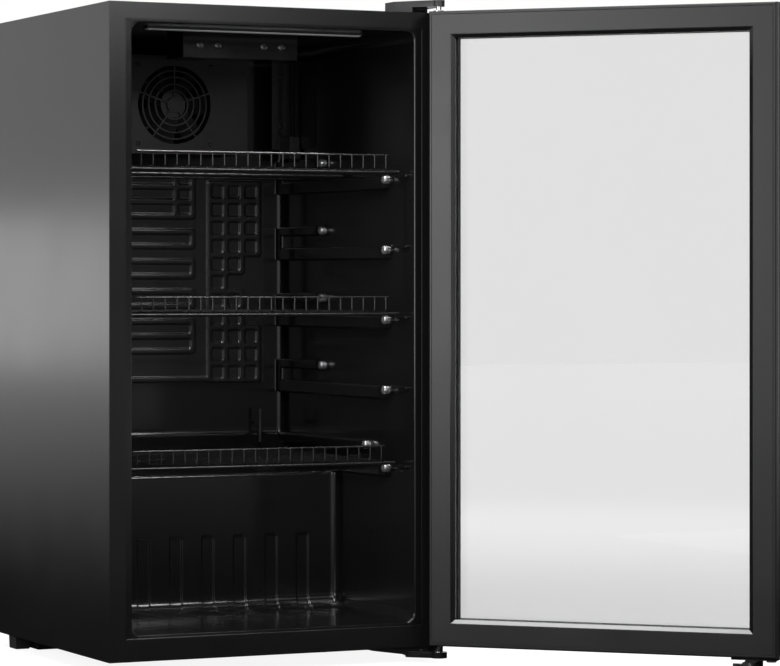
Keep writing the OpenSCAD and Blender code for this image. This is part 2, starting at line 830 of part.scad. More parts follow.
module fan_screw_places() {
    for (x = [-1, 1], z = [-1, 1])
        translate([fan_x + x * fan_screw_pitch / 2, fan_panel_y, fan_z + z * fan_screw_pitch / 2])
            children();
}

// Square fan frame with four struts, the motor plate and the fixed shaft.
module fan_frame() color(black_plastic) place() {
    front = fan_panel_y + fan_panel_t;
    w = fan_frame_w / 2;
    difference() {
        along_y(front, fan_back) round_rect([fan_x - w, fan_z - w], [fan_x + w, fan_z + w], 5);
        rod_y(fan_x, fan_z, front - cut, fan_back + cut, fan_r + 1);
        fan_screw_places() rotate([90, 0, 0])
            cylinder(h = 3 * fan_frame_d, r = screw_r + snug, center = true);
    }
    for (a = [45 : 90 : 315]) translate([fan_x, 0, fan_z]) rotate([0, a, 0])
        block([hub_r - 2, fan_back - fan_strut, -2], [fan_r + 3, fan_back, 2]);
    rod_y(fan_x, fan_z, fan_back - fan_strut, fan_back, hub_r);
    rod_y(fan_x, fan_z, rotor_front + 4, fan_back - fan_strut / 2, shaft_r);
}

// Fan hub with pitched blades, bored for the shaft.
module fan_rotor() color([0.1, 0.1, 0.11]) place() difference() {
    union() {
        rod_y(fan_x, fan_z, rotor_front, rotor_back, hub_r);
        intersection() {
            for (i = [0 : blade_n - 1]) translate([fan_x, 0, fan_z]) rotate([0, i * 360 / blade_n, 0])
                translate([0, (rotor_front + rotor_back) / 2, 0]) rotate([35, 0, 0])
                block([hub_r - 3, -0.8, -14], [fan_r, 0.8, 14]);
            rod_y(fan_x, fan_z, rotor_front, rotor_back, fan_r - 1.5);
        }
    }
    rod_y(fan_x, fan_z, rotor_front + 3, rotor_back + cut, shaft_r + run);
}

// Tray-shaped control box under the ceiling.
module control_box() color(black_plastic) place() difference() {
    x = control_w / 2;
    z = air_top - control_h;
    block([-x, control_y, z], [x, control_y + control_d, air_top]);
    block([-x + control_t, control_y + control_t, z + control_t],
        [x - control_t, control_y + control_d - control_t, air_top + cut]);
    control_screw_places() rotate([90, 0, 0]) cylinder(h = 6 * cut, r = screw_r + snug, center = true);
}

control_screw_x = [-59.5, -33, 34, 60];
control_screw_z = 17.6;
module control_screw_places() {
    for (x = control_screw_x) translate([x, control_y, air_top - control_screw_z]) children();
}

// Thermostat block behind the control box's front.
module thermostat() color(dark_grey) place()
    block([-24, control_y + control_t, air_top - control_h + 8],
        [24, control_y + control_t + 26, air_top - 12]);

// Screws of the fan panel, the control box and the corner cover.
corner_screw_l = 6;
module interior_screws() color(zinc) place() {
    fan_screw_places() rotate([90, 0, 0]) screw(3.5, 2.5, screw_r, 12);
    control_screw_places() rotate([90, 0, 0]) screw(5.7, 3, screw_r, 6);
    corner_front_screws() rotate([90, 0, 0]) screw(3.5, 2.5, screw_r, corner_screw_l);
    corner_wall_screws() screw(3.5, 2.5, screw_r, corner_screw_l);
}

module light_housing() color(dark_grey) place()
    block([-light_l / 2, light_y - light_d / 2, air_top - light_h],
        [light_l / 2, light_y + light_d / 2, air_top]);

module light_lens() color([0.95, 0.95, 0.97]) place()
    block([-light_l / 2 + 2, light_y - light_d / 2 + 2, air_top - light_h - lens_h],
        [light_l / 2 - 2, light_y + light_d / 2 - 2, air_top - light_h]);

// ---- Rear corner ----

// Angle that closes the rear right corner.
module corner_cover() color(black_plastic) place() difference() {
    union() {
        block([air_w - corner_w, corner_y, corner_z], [air_w, corner_y + corner_t, corner_z + corner_h]);
        block([air_w - corner_t, corner_y - corner_d, corner_z],
            [air_w, corner_y + corner_t, corner_z + corner_h]);
    }
    corner_front_screws() rotate([90, 0, 0]) cylinder(h = 8 * cut, r = screw_r + snug, center = true);
    corner_wall_screws() cylinder(h = 8 * cut, r = screw_r + snug, center = true);
}

corner_screw_zs = [33, 105];
module corner_front_screws() {
    for (z = corner_screw_zs) translate([air_w - 17, corner_y, corner_z + z]) children();
}

module corner_wall_screws() {
    for (z = corner_screw_zs)
        translate([air_w - corner_t, corner_y - 30, corner_z + z]) rotate([0, -90, 0]) children();
}

module riser_tube() color(black_plastic) place()
    rod_z(air_w - clip_w / 2, corner_y - clip_d * 2 / 3, clip_top, corner_z + corner_h, tube_r);

// Box that holds the lower end of the riser tube, below the corner cover's side wall.
module tube_clip() color(black_plastic) place() difference() {
    block([air_w - clip_w, corner_y - clip_d, clip_top - clip_h], [air_w, corner_y, clip_top]);
    block([air_w - corner_t - snug, corner_y - clip_d - cut, corner_z - snug],
        [air_w + cut, corner_y + cut, clip_top + cut]);
}

// Probe on an arm from the rear wall.
module temperature_probe() color(dark_grey) place() {
    y = air_back - 18;
    rod_z(probe_x, y, probe_z, probe_z + probe_l, probe_r);
    block([probe_x - 1.5, y, probe_z + 24], [probe_x + 1.5, air_back, probe_z + 30]);
}

// Cup on the step with a tube down through the foam.
drain_end = comp_top + 12;
module drain_cup() color(dark_grey) place() translate([drain_x, drain_y, 0]) difference() {
    union() {
        rod_z(0, 0, step_z, step_z + cup_h, cup_r);
        rod_z(0, 0, drain_end, step_z + cut, drain_r);
    }
    rod_z(0, 0, step_z + 2, step_z + cup_h + cut, cup_r - 2);
    rod_z(0, 0, drain_end - cut, step_z + 3, drain_r - 1.5);
}

// ---- Shelves ----

// Wire shelf: thick cross wires, thin wires from back to front, and a low fence.
fence_wire = wire_r + 0.15;
module shelf(level, y) {
    z = peg_levels[level];
    for (dy = [0, cross_mid, cross_rear])
        rod_x(y + dy, z + cross_z, -cross_half, cross_half, cross_r);
    for (i = [0 : wire_n - 1]) {
        x = -wire_span / 2 + i * wire_span / (wire_n - 1);
        rod_y(x, z + wire_z, y + fence_y, y + cross_rear + cross_r + weld, wire_r);
        rod_z(x, y + fence_y, z + wire_z - fence_wire - weld, z + rail_z + weld, fence_wire);
    }
    rod_x(y + fence_y + wire_r + rail_r - weld, z + rail_z, -rail_l / 2, rail_l / 2, rail_r);
}

module shelf_top() color(black_steel) place() shelf(4, shelf_y);
module shelf_middle() color(black_steel) place() shelf(2, shelf_y);
module shelf_bottom() color(black_steel) place() shelf(0, shelf_low_y);

// ---- Machine bay ----

module compressor_tray() color(black_steel) place() difference() {
    block([-tray_w / 2, tray_y, -tray_drop], [tray_w / 2, body_d - sheet, 0]);
    block([-tray_w / 2 + tray_t, tray_y + tray_t, tray_floor],
        [tray_w / 2 - tray_t, body_d - sheet - tray_t, cut]);
    comp_feet() rod_z(0, 0, -tray_drop - cut, tray_floor + cut, bolt_r + run);
}

module comp_feet() {
    for (x = [-1, 1], y = [-1, 1])
        translate([comp_x + x * comp_foot_x / 2, comp_y + y * comp_foot_y / 2, 0]) children();
}

// Welded shell on its foot plate, with the terminal block and two pipe ports.
foot_hole = 7;
module compressor() color([0.05, 0.05, 0.05]) place() {
    translate([comp_x, comp_y, comp_z]) rotate_extrude() intersection() {
        round_rect([-comp_r, 0], [comp_r, comp_h], comp_round);
        square([comp_r + cut, comp_h + cut]);
    }
    difference() {
        block([comp_x - comp_foot_x / 2 - 12, comp_y - comp_foot_y / 2 - 11, comp_z],
            [comp_x + comp_foot_x / 2 + 12, comp_y + comp_foot_y / 2 + 11, comp_z + comp_plate]);
        comp_feet() rod_z(0, 0, comp_z - cut, comp_z + comp_plate + cut, foot_hole);
    }
    block([comp_x - relay_w / 2 + 6, comp_y - comp_r - relay_gap, comp_z + relay_up + 5],
        [comp_x + relay_w / 2 - 6, comp_y, comp_z + relay_up + relay_h - 5]);
    rod_x(comp_y, port_z, comp_x - comp_r - port_l, comp_x - comp_r + 5, pipe_r + 1);
    rod_x(comp_y, port_z, comp_x + comp_r - 5, comp_x + comp_r + port_l, pipe_r + 1);
}

module grommets() color([0.12, 0.12, 0.12]) place() comp_feet() difference() {
    union() {
        rod_z(0, 0, tray_floor, comp_z, grommet_r);
        rod_z(0, 0, comp_z - cut, comp_z + comp_plate, foot_hole - snug);
    }
    rod_z(0, 0, tray_floor - cut, comp_z + comp_plate + cut, bolt_r + run);
}

module compressor_bolts() color(zinc) place() comp_feet() {
    rod_z(0, 0, -tray_drop, comp_z + comp_plate + cut, bolt_r);
    rod_z(0, 0, comp_z + comp_plate, comp_z + comp_plate + 5, 9);
}

module start_relay() color(black_plastic) place()
    block([comp_x - relay_w / 2, comp_y - comp_r - relay_gap - relay_d, comp_z + relay_up],
        [comp_x + relay_w / 2, comp_y - comp_r - relay_gap, comp_z + relay_up + relay_h]);

// Wire-on-tube condenser on stand-off clips behind the back panel, with its outlet to the drier.
module condenser() color(black_steel) place() {
    for (i = [0 : cond_n - 1]) {
        z = cond_z + i * cond_pitch;
        rod_x(cond_y, z, -cond_l / 2, cond_l / 2, cond_r);
        if (i < cond_n - 1) {
            side = i % 2 == 0 ? 1 : -1;
            translate([side * cond_l / 2, cond_y, z + cond_pitch / 2]) rotate([90, side > 0 ? 0 : 180, 0])
                rotate([0, 0, -90]) rotate_extrude(angle = 180)
                translate([cond_pitch / 2, 0]) circle(cond_r, $fn = 24);
        }
    }
    for (i = [0 : cond_wire_n - 1]) {
        x = (i / (cond_wire_n - 1) - 0.5) * (cond_l - 20);
        y = cond_y + cond_r - weld;
        block([x - cond_wire / 2, y, cond_z - 18], [x + cond_wire / 2, y + cond_wire, cond_top + 18]);
    }
    for (x = [-cond_l / 2 + 30, cond_l / 2 - 30], z = [cond_z + cond_pitch, cond_top - cond_pitch])
        block([x - 6, body_d, z - 1.5], [x + 6, cond_y + cond_r / 2, z + 1.5]);
    low = port_z + outlet_up;
    pipe([[-cond_l / 2, cond_y, cond_z], [-cond_side, cond_y, cond_z], [-cond_side, cond_y, low],
        [-cond_side, drier_y, low], [drier_x, drier_y, low], [drier_x, drier_y, drier_z]], cond_r);
}

// Spun copper drier with a cone at each end.
drier_l = 70;
module filter_drier() color(copper) place() translate([drier_x, drier_y, drier_z])
    rotate_extrude() polygon([[0, 0], [4, 0], [9, -12], [9, 12 - drier_l], [3, -drier_l], [0, -drier_l]]);

// Hot gas pipe from the compressor to the top of the condenser.
module discharge_pipe() color(copper) place()
    pipe([[comp_x + comp_r + port_l, comp_y, port_z], [cond_side + 6, comp_y, port_z],
        [cond_side + 6, cond_y, port_z], [cond_side + 6, cond_y, cond_top],
        [cond_l / 2, cond_y, cond_top]], cond_r);

// Return pipe from the cooling plate, through the foam, to the compressor.
module suction_line(r) {
    pipe([[suction_x, air_back - plate_off, suction_z], [suction_x, suction_y, suction_z],
        [suction_x, suction_y, port_z], [suction_x, comp_y, port_z],
        [comp_x - comp_r - port_l, comp_y, port_z]], r);
}
module suction_pipe() color(copper) place() suction_line(pipe_r);

// Open tray on top of the compressor that catches the drain water.
module drip_tray() color(black_plastic) place() {
    low = [comp_x - 75, comp_y - 52, comp_top];
    high = [comp_x + 75, body_d - 8, comp_top + drip_h];
    difference() {
        block(low, high);
        block(low + [1.5, 1.5, 1.5], high + [-1.5, -1.5, cut]);
    }
}

// Slotted sheet behind the machine bay.
module rear_grille() color(black_steel) place() difference() {
    block([-shell_in, body_d - sheet, sheet], [shell_in, body_d, bay_z - sheet]);
    for (i = [0 : slot_n - 1], x = [-slot_l - slot_bar / 2, slot_bar / 2]) {
        z = slot_low + i * (bay_z - slot_low - slot_high) / slot_n;
        block([x, body_d - 2 * cut, z], [x + slot_l, body_d + cut, z + slot_h]);
    }
    rod_y(gland_x, gland_z, body_d - 3 * cut, body_d + cut, gland_r + snug);
    rod_y(cond_side + 6, port_z, body_d - 3 * cut, body_d + cut, cond_r + 1.5);
    rod_y(-cond_side, port_z + outlet_up, body_d - 3 * cut, body_d + cut, cond_r + 1.5);
}

// Bush that guides the supply cord through the rear grille.
module cord_gland() color(black_plastic) place() difference() {
    union() {
        rod_y(gland_x, gland_z, body_d - sheet - 8, body_d + 7, gland_r);
        rod_y(gland_x, gland_z, body_d, body_d + 3, gland_r + 4);
        rod_y(gland_x, gland_z, body_d - sheet - 5, body_d - sheet, gland_r + 3);
    }
    rod_y(gland_x, gland_z, body_d - 20, body_d + 20, gland_bore);
}

// ---- Feet ----

// Levelling foot whose stud turns in the base.
module front_foot(side) color(black_plastic) place() translate([side * foot_front_x, foot_front_y, 0]) {
    rod_z(0, 0, -foot_h, -ease, foot_r);
    rod_z(0, 0, -2 * ease, boss_h - 4, foot_stud);
}

// Fixed block with a stud that holds it in the base.
module rear_foot(side) color(black_plastic) place() translate([side * foot_rear_x, foot_rear_y, 0]) {
    block([-foot_w / 2, -foot_d / 2, -foot_h], [foot_w / 2, foot_d / 2, 0]);
    rod_z(0, 0, -ease, boss_h - 4, foot_stud);
}

module foot_front_left() front_foot(-1);
module foot_front_right() front_foot(1);
module foot_rear_left() rear_foot(-1);
module foot_rear_right() rear_foot(1);

// ---- Hinges ----

bracket_z = body_h + hinge_gap;

// Outline of the top bracket seen from above, grown by a margin.
module bracket_outline(grow) {
    polygon([[half_w - bracket_w - grow, bracket_neck], [hinge_x - boss_r - grow, -hinge_out],
        [half_w, -hinge_out - grow], [half_w, bracket_d + grow],
        [half_w - bracket_w - grow, bracket_d + grow]]);
    translate([hinge_x, -hinge_out]) circle(boss_r + grow);
}

module top_screw_places() {
    left = half_w - bracket_w + 16;
    back = bracket_d - 16;
    for (p = [[left, 24], [left, back], [half_w - 20, back]])
        translate([p[0], p[1], body_h]) children();
}

// Plate that stands on a spacer on the cabinet's top and reaches over the door.
module top_hinge_bracket() color(black_steel) place() difference() {
    union() {
        translate([0, 0, bracket_z]) linear_extrude(bracket_t) bracket_outline(0);
        block([half_w - bracket_w + 10, 17, body_h], [half_w - 6, bracket_d - 6, bracket_z + cut]);
    }
    rod_z(hinge_x, -hinge_out, bracket_z - cut, bracket_z + bracket_t + cut, pin_r + snug);
    top_screw_places() {
        rod_z(0, 0, -cut, hinge_gap + bracket_t + cut, bolt_r + snug);
        rod_z(0, 0, hinge_gap, hinge_gap + bracket_t + cut, 5 + snug);
    }
}

// Plastic cap over the top bracket. Its skirt reaches down to the cabinet behind the front edge.
module top_hinge_cover() color(black_plastic) place() {
    wall = cover_t + ease;
    cap = bracket_z + bracket_t + cover_rise;
    difference() {
        union() {
            translate([0, 0, bracket_z]) linear_extrude(cap + cover_t - bracket_z) bracket_outline(wall);
            intersection() {
                translate([0, 0, body_h]) linear_extrude(hinge_gap + cut) bracket_outline(wall);
                block([0, 5, body_h], [half_w + wall, body_d, cap]);
            }
        }
        translate([0, 0, body_h - cut]) linear_extrude(cap - body_h + cut) bracket_outline(ease);
    }
}

module top_hinge_pin() color(bright) place()
    rod_z(hinge_x, -hinge_out, body_h - bush_l + 2, bracket_z + bracket_t, pin_r);

low_block_d = 60;
module low_screw_places() {
    left = half_w - 36;
    for (p = [[left, 18], [left, 46], [half_w - 14, 46]])
        translate([p[0], p[1], 0]) children();
}

// Tapered block under the cabinet with an arm that carries the door.
module bottom_hinge_bracket() color(black_steel) place() difference() {
    union() {
        along_y(2, low_block_d) polygon([[half_w - low_w, 0], [half_w, 0], [half_w, -low_drop],
            [half_w - 20, -low_drop], [half_w - low_w, -2]]);
        translate([0, 0, -low_drop]) linear_extrude(low_arm_t) {
            polygon([[hinge_x - low_arm_r, -hinge_out], [hinge_x + low_arm_r, -hinge_out],
                [half_w, 5], [half_w - 45, 5]]);
            translate([hinge_x, -hinge_out]) circle(low_arm_r);
        }
    }
    rod_z(hinge_x, -hinge_out, -low_drop - cut, 0, pin_r + snug);
    low_screw_places() {
        rod_z(0, 0, -low_drop - cut, cut, bolt_r + snug);
        rod_z(0, 0, -low_drop - cut, 4 - low_drop, 5 + snug);
    }
}

// Lower pin with the collar that the door rests on.
module bottom_hinge_pin() color(bright) place() {
    rod_z(hinge_x, -hinge_out, -low_drop, door_z + bush_l - 2, pin_r);
    rod_z(hinge_x, -hinge_out, low_arm_t - low_drop, door_z - bush_flange - ease, pin_r + 2);
}

module hinge_screws() color(zinc) place() {
    top_screw_places() {
        rod_z(0, 0, hinge_gap, hinge_gap + bracket_t, 5);
        rod_z(0, 0, -2 * sheet, hinge_gap + cut, bolt_r);
    }
    low_screw_places() {
        rod_z(0, 0, 1 - low_drop, 4 - low_drop, 5);
        rod_z(0, 0, 3 - low_drop, sheet, bolt_r);
    }
}

// ---- Door ----

// Outline points are [u, v]: u from the door's edge inwards, v from the gasket's face outwards.
frame_profile = [[0, gasket_t], [frame_w, gasket_t], [frame_w, gasket_t + frame_wall],
    [frame_wall, gasket_t + frame_wall], [frame_wall, door_t - frame_wall],
    [frame_w - 2, door_t - frame_wall], [frame_w - 2, lip_v], [frame_lip, lip_v],
    [frame_lip, door_t], [0, door_t]];
grip_v = gasket_t + (frame_t - grip_w) / 2;
grip_profile = [[0, gasket_t], [frame_w, gasket_t], [frame_w, gasket_t + frame_wall],
    [frame_wall, gasket_t + frame_wall], [frame_wall, grip_v - frame_wall],
    [grip_d + frame_wall, grip_v - frame_wall], [grip_d + frame_wall, grip_v + grip_w + frame_wall],
    [frame_wall, grip_v + grip_w + frame_wall], [frame_wall, door_t - frame_wall],
    [frame_w - 2, door_t - frame_wall], [frame_w - 2, lip_v], [frame_lip, lip_v],
    [frame_lip, door_t], [0, door_t], [0, grip_v + grip_w], [grip_d, grip_v + grip_w],
    [grip_d, grip_v], [0, grip_v]];
bead_profile = [[frame_w, gasket_t], [gasket_w, gasket_t], [gasket_w, 0],
    [bevel_in, bevel_d], [bevel_in, bead_v], [frame_w, bead_v]];
gasket_profile = concat([[gasket_in, gasket_t]],
    [for (a = [0 : 15 : 90]) [gasket_in + gasket_round * (1 - cos(a)), gasket_round * (1 - sin(a))]],
    [[gasket_w, 0], [gasket_w, gasket_t]]);
spacer_profile = [[pane_in, bead_v + pane_t], [bevel_in, bead_v + pane_t],
    [bevel_in, bead_v + pane_t + pane_gap], [pane_in, bead_v + pane_t + pane_gap]];

// A profile carried along one side of the door, with both ends mitred.
module mitred(length, profile) {
    reach = 60;
    intersection() {
        rotate([90, 0, 90]) linear_extrude(length) polygon([for (p = profile) [-p[1], p[0]]]);
        translate([0, cut, 0]) rotate([90, 0, 0]) linear_extrude(reach)
            polygon([[0, 0], [length, 0], [length - reach, reach], [reach, reach]]);
    }
}

module door_bottom(profile) translate([door_x0, -door_gap, door_z]) mitred(door_w, profile);
module door_top(profile) translate([door_x0, -door_gap, body_h]) mirror([0, 0, 1]) mitred(door_w, profile);
module door_hinge_side(profile)
    translate([door_x1, -door_gap, door_z]) rotate([0, -90, 0]) mitred(door_h, profile);
module door_free_side(profile) translate([door_x0, -door_gap, door_z]) mirror([1, 0, 0])
    rotate([0, -90, 0]) mitred(door_h, profile);

module door_ring(profile) {
    door_bottom(profile);
    door_top(profile);
    door_hinge_side(profile);
    door_free_side(profile);
}

// Holes for the hinge bushes.
module bush_holes() {
    rod_z(hinge_x, -hinge_out, body_h - bush_l - ease, body_h + cut, bush_r + snug);
    rod_z(hinge_x, -hinge_out, door_z - cut, door_z + bush_l + ease, bush_r + snug);
}

module door_top_rail() color(black_steel) swing() difference() {
    door_top(frame_profile);
    bush_holes();
}
module door_bottom_rail() color(black_steel) swing() difference() {
    door_bottom(frame_profile);
    bush_holes();
    lock_screw_places() rod_z(0, 0, -cut, frame_wall + cut, bolt_r + snug);
}
module door_hinge_stile() color(black_steel) swing() difference() {
    door_hinge_side(frame_profile);
    bush_holes();
}
module door_free_stile() color(black_steel) swing() door_free_side(grip_profile);

// Angle blocks inside the frame's corners.
key_l = 55;
module corner_keys() color(dark_grey) swing() difference() {
    for (top = [0, 1], hinge_side = [0, 1])
        translate([hinge_side ? door_x1 : door_x0, -door_gap, top ? body_h : door_z])
            mirror([hinge_side, 0, 0]) mirror([0, 0, top]) key(hinge_side ? 0 : grip_d);
    bush_holes();
    lock_screw_places() rod_z(0, 0, 0, key_l, bolt_r + snug);
}

module key(inset) {
    edge = frame_wall + ease;
    x0 = edge + inset;
    z1 = frame_w - 2 - ease;
    block([x0, -door_t + edge, edge], [key_l, -gasket_t - edge, z1]);
    block([x0, -door_t + edge, edge], [z1, -gasket_t - edge, key_l]);
}

module glazing_bead() color(dark_grey) swing() door_ring(bead_profile);
module door_gasket() color(dark_grey) swing() door_ring(gasket_profile);
module pane_spacer() color([0.03, 0.03, 0.03]) swing() door_ring(spacer_profile);

module pane(v) {
    block([door_x0 + pane_in, -door_gap - v - pane_t, door_z + pane_in],
        [door_x1 - pane_in, -door_gap - v, body_h - pane_in]);
}
module inner_pane() color([0.8, 0.9, 0.9, 0.35]) swing() pane(bead_v);
module outer_pane() color([0.8, 0.9, 0.9, 0.35]) swing() pane(bead_v + pane_t + pane_gap);

// Flanged bushes in the top and the bottom of the door.
module door_bushes() color(bright) swing() translate([hinge_x, -hinge_out, 0]) {
    bush(body_h, 1);
    bush(door_z, -1);
}

module bush(z, up) {
    translate([0, 0, z]) mirror([0, 0, up < 0 ? 1 : 0]) difference() {
        union() {
            rod_z(0, 0, -bush_l, cut / 2, bush_r);
            rod_z(0, 0, 0, bush_flange, bush_r + 2.5);
        }
        rod_z(0, 0, -bush_l - cut, bush_flange + cut, pin_r + run);
    }
}

// ---- Lock ----

lock_edge = 12;
module lock_screw_places() {
    for (x = [lock_edge, lock_w - lock_edge + 2]) lock_screw_place(x) children();
}
module lock_screw_place(x) translate([door_x0 + x, -hinge_out - 2, door_z]) children();

// Plate under the door with the lock case, which reaches under the cabinet.
module lock_bracket() color(black_steel) swing() difference() {
    union() {
        block([door_x0 + 2, -door_t + 2, door_z - lock_t], [door_x0 + 2 + lock_w, -gasket_t, door_z]);
        block([lock_axis_x - lock_case_w / 2, -door_t, -lock_drop],
            [lock_axis_x + lock_case_w / 2, case_back, -ease]);
        block([lock_axis_x - lock_case_w / 2, -door_t, -ease - cut],
            [lock_axis_x + lock_case_w / 2, -gasket_t, door_z - lock_t / 2]);
    }
    rod_y(lock_axis_x, lock_axis_z, -door_t - cut, case_back + cut, lock_r + run);
    lock_screw_places() rod_z(0, 0, -lock_t - cut, cut, bolt_r + snug);
    lock_screw_place(lock_w - lock_edge + 2)
        rod_z(0, 0, -lock_t - cut, -lock_t / 2, sunk_head + snug);
}

// One screw with a tall head near the free edge and one with its head sunk in the plate.
sunk_head = 5;
module lock_screws() color(zinc) swing() {
    lock_screw_places() rod_z(0, 0, -lock_t, 8, bolt_r);
    lock_screw_place(lock_edge) rod_z(0, 0, -lock_t - 3, -lock_t, sunk_head + 1.5);
    lock_screw_place(lock_w - lock_edge + 2) rod_z(0, 0, -lock_t, -lock_t / 2, sunk_head);
}

// Key plug with the cam behind the case.
module lock_plug() color(bright) swing() translate([lock_axis_x, 0, lock_axis_z]) {
    difference() {
        rod_y(0, 0, -door_t - 1.5, cam_y + cam_t / 2, lock_r);
        block([-0.8, -door_t - 1.5 - cut, -3.5], [0.8, -door_t + 4, 3.5]);
    }
    rod_y(0, 0, -door_t - 1.5, -door_t - ease, lock_r + 2);
    block([0, cam_y, -cam_w / 2], [cam_l, cam_y + cam_t, cam_w / 2]);
    rod_y(0, 0, cam_y, cam_y + cam_t, cam_w / 2 + 1);
}

outer_shell();
base_frame();
back_panel();
insulation();
inner_liner();
shelf_pegs();
cooling_plate();
fan_panel();
fan_frame();
fan_rotor();
control_box();
thermostat();
interior_screws();
light_housing();
light_lens();
temperature_probe();
drain_cup();
corner_cover();
riser_tube();
tube_clip();
shelf_top();
shelf_middle();
shelf_bottom();
compressor_tray();
compressor();
grommets();
compressor_bolts();
start_relay();
condenser();
filter_drier();
discharge_pipe();
suction_pipe();
drip_tray();
rear_grille();
cord_gland();
top_hinge_bracket();
top_hinge_cover();
top_hinge_pin();
bottom_hinge_bracket();
bottom_hinge_pin();
hinge_screws();
foot_front_left();
foot_front_right();
foot_rear_left();
foot_rear_right();
door_top_rail();
door_bottom_rail();
door_hinge_stile();
door_free_stile();
corner_keys();
glazing_bead();
door_gasket();
inner_pane();
outer_pane();
pane_spacer();
door_bushes();
lock_bracket();
lock_screws();
lock_plug();
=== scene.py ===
# Glass door merchandiser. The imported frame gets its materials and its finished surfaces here.
# Cabinet places are in mm: x from the middle, y back from the front flange, z up from the cabinet's bottom.
import json
import math
import bmesh
import bpy
import numpy as np
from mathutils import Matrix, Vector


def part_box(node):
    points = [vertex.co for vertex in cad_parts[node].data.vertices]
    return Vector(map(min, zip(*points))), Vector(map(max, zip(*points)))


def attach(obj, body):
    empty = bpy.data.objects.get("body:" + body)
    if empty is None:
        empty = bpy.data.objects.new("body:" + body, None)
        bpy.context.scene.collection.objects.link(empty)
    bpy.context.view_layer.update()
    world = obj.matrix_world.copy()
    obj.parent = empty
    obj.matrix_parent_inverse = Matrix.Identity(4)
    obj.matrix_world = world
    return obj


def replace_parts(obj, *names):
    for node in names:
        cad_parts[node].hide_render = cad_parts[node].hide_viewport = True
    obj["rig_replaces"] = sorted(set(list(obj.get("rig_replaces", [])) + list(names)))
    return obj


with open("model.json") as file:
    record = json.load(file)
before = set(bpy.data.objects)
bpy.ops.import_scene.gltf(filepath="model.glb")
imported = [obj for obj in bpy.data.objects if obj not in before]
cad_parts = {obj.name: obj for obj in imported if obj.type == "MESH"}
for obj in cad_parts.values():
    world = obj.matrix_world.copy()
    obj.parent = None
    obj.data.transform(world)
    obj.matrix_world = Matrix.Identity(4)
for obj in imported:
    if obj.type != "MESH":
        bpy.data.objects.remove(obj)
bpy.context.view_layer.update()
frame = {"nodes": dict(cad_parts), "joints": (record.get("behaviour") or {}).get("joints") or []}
nodes = frame["nodes"]
joints = {j["name"]: j for j in frame["joints"]}
shellLow, shellHigh = (np.array(v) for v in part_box("outer_shell"))
pi = math.pi


def cab(x, y, z):  # cabinet place in mm to the row frame in metres
    start = ((shellLow[0] + shellHigh[0]) / 2, shellLow[1], shellLow[2])
    parts = [o + np.asarray(v, float) / 1000 for o, v in zip(start, (x, y, z))]
    return np.stack(np.broadcast_arrays(*parts), -1)


def inMm(points):  # places in metres back to cabinet places in mm
    return (np.array(points) - cab(0, 0, 0)) * 1000


def reach(node):  # a frame node's lowest and highest corners as cabinet places in mm
    return [inMm(corner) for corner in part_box(node)]


def pieceName(node):  # corner_keys becomes cornerKeys
    first, *rest = node.split("_")
    return first + "".join(word.capitalize() for word in rest)


def onDoor(p):  # turns points that are given with the door closed to where the door stands open
    pivot, turn = np.array(joints["door_hinge"]["pos_m"]), math.radians(-joints["door_hinge"]["range_deg"][0])
    q = np.asarray(p) - pivot
    return np.stack([q[..., 0] * math.cos(turn) - q[..., 1] * math.sin(turn),
                     q[..., 0] * math.sin(turn) + q[..., 1] * math.cos(turn), q[..., 2]], -1) + pivot


# Camera and light.
shot = {"eye": (-1.788, -4.2805, 0.5097), "heading": -25.78, "lens": 155.4, "rise": -0.066}
camera = bpy.data.objects.new("camera", bpy.data.cameras.new("camera"))
bpy.context.collection.objects.link(camera)
camera.location = shot["eye"]
camera.rotation_euler = (pi / 2, 0, math.radians(shot["heading"]))
camera.data.lens, camera.data.shift_y, camera.data.clip_end = shot["lens"], shot["rise"], 60
bpy.context.scene.camera = camera
bpy.context.scene.view_settings.view_transform = "Standard"

# Area lamps: place, aim, width and height in metres, and watts.
lamps = {
    "keyPanel": ((-0.75, -2.6, 2.0), (0.05, 0, 0.45), (0.9, 0.7), 16),
    "doorPanel": ((-1.71, -1.08, 0.74), (0.35, -0.4, 0.62), (1.25, 0.9), 17.5),
    "sidePanel": ((-1.05, 1.45, 0.49), (-0.235, 0, 0.47), (1.4, 0.28), 1.4),
    "cornerPanel": ((0.42, -2.2, 1.34), (-0.2, -0.24, 0.86), (0.6, 0.5), 5.6),
    "edgePanel": ((0.8, -1.95, 1.7), (0, 0, 0.4), (0.35, 0.3), 9),
    "frontPanel": ((-1.2, -4.9, 1.0), (0, 0, 0.4), (3.2, 1.6), 16),
    "bevelPanel": ((-0.93, -0.81, 2.0), (0.39, -0.42, 0.06), (0.7, 0.5), 17),
    "barLight": ((-0.02, -0.19, 0.828), (-0.02, -0.1, 0.1), (0.34, 0.02), 0.8),
    "floorPanel": ((-0.8, -2.4, 0.02), (-0.8, -2.39, 1), (1.5, 1.8), 6),
    "lowPanel": ((1.7, -1.95, 0.3), (0, 0.02, 0.15), (0.4, 0.4), 1),
    "topPanel": ((0.1, -0.5, 2.5), (0.1, -0.1, 0.4), (1.4, 1.2), 16),
    "rearFill": ((1.6, 2.2, 1.6), (0, 0.2, 0.4), (1.2, 1.2), 22),
}
spreads = {"barLight": 110}  # degrees, where a lamp doesn't shine all round its front
paneBlind = ("doorPanel", "keyPanel")  # these two don't show in the panes


def addLamp(name, place, aim, size, watts):
    data = bpy.data.lights.new(name, "AREA")
    data.shape, data.size, data.size_y, data.energy = "RECTANGLE", *size, watts
    data.spread = math.radians(spreads.get(name, 180))
    light = bpy.data.objects.new(name, data)
    bpy.context.collection.objects.link(light)
    light.location = place
    way = np.array(aim) - np.array(place)
    tilt, turn = math.atan2(math.hypot(way[0], way[1]), -way[2]), math.atan2(way[1], way[0]) - pi / 2
    light.rotation_euler = (tilt, 0, turn)
    light.visible_camera = light.visible_transmission = False
    return light


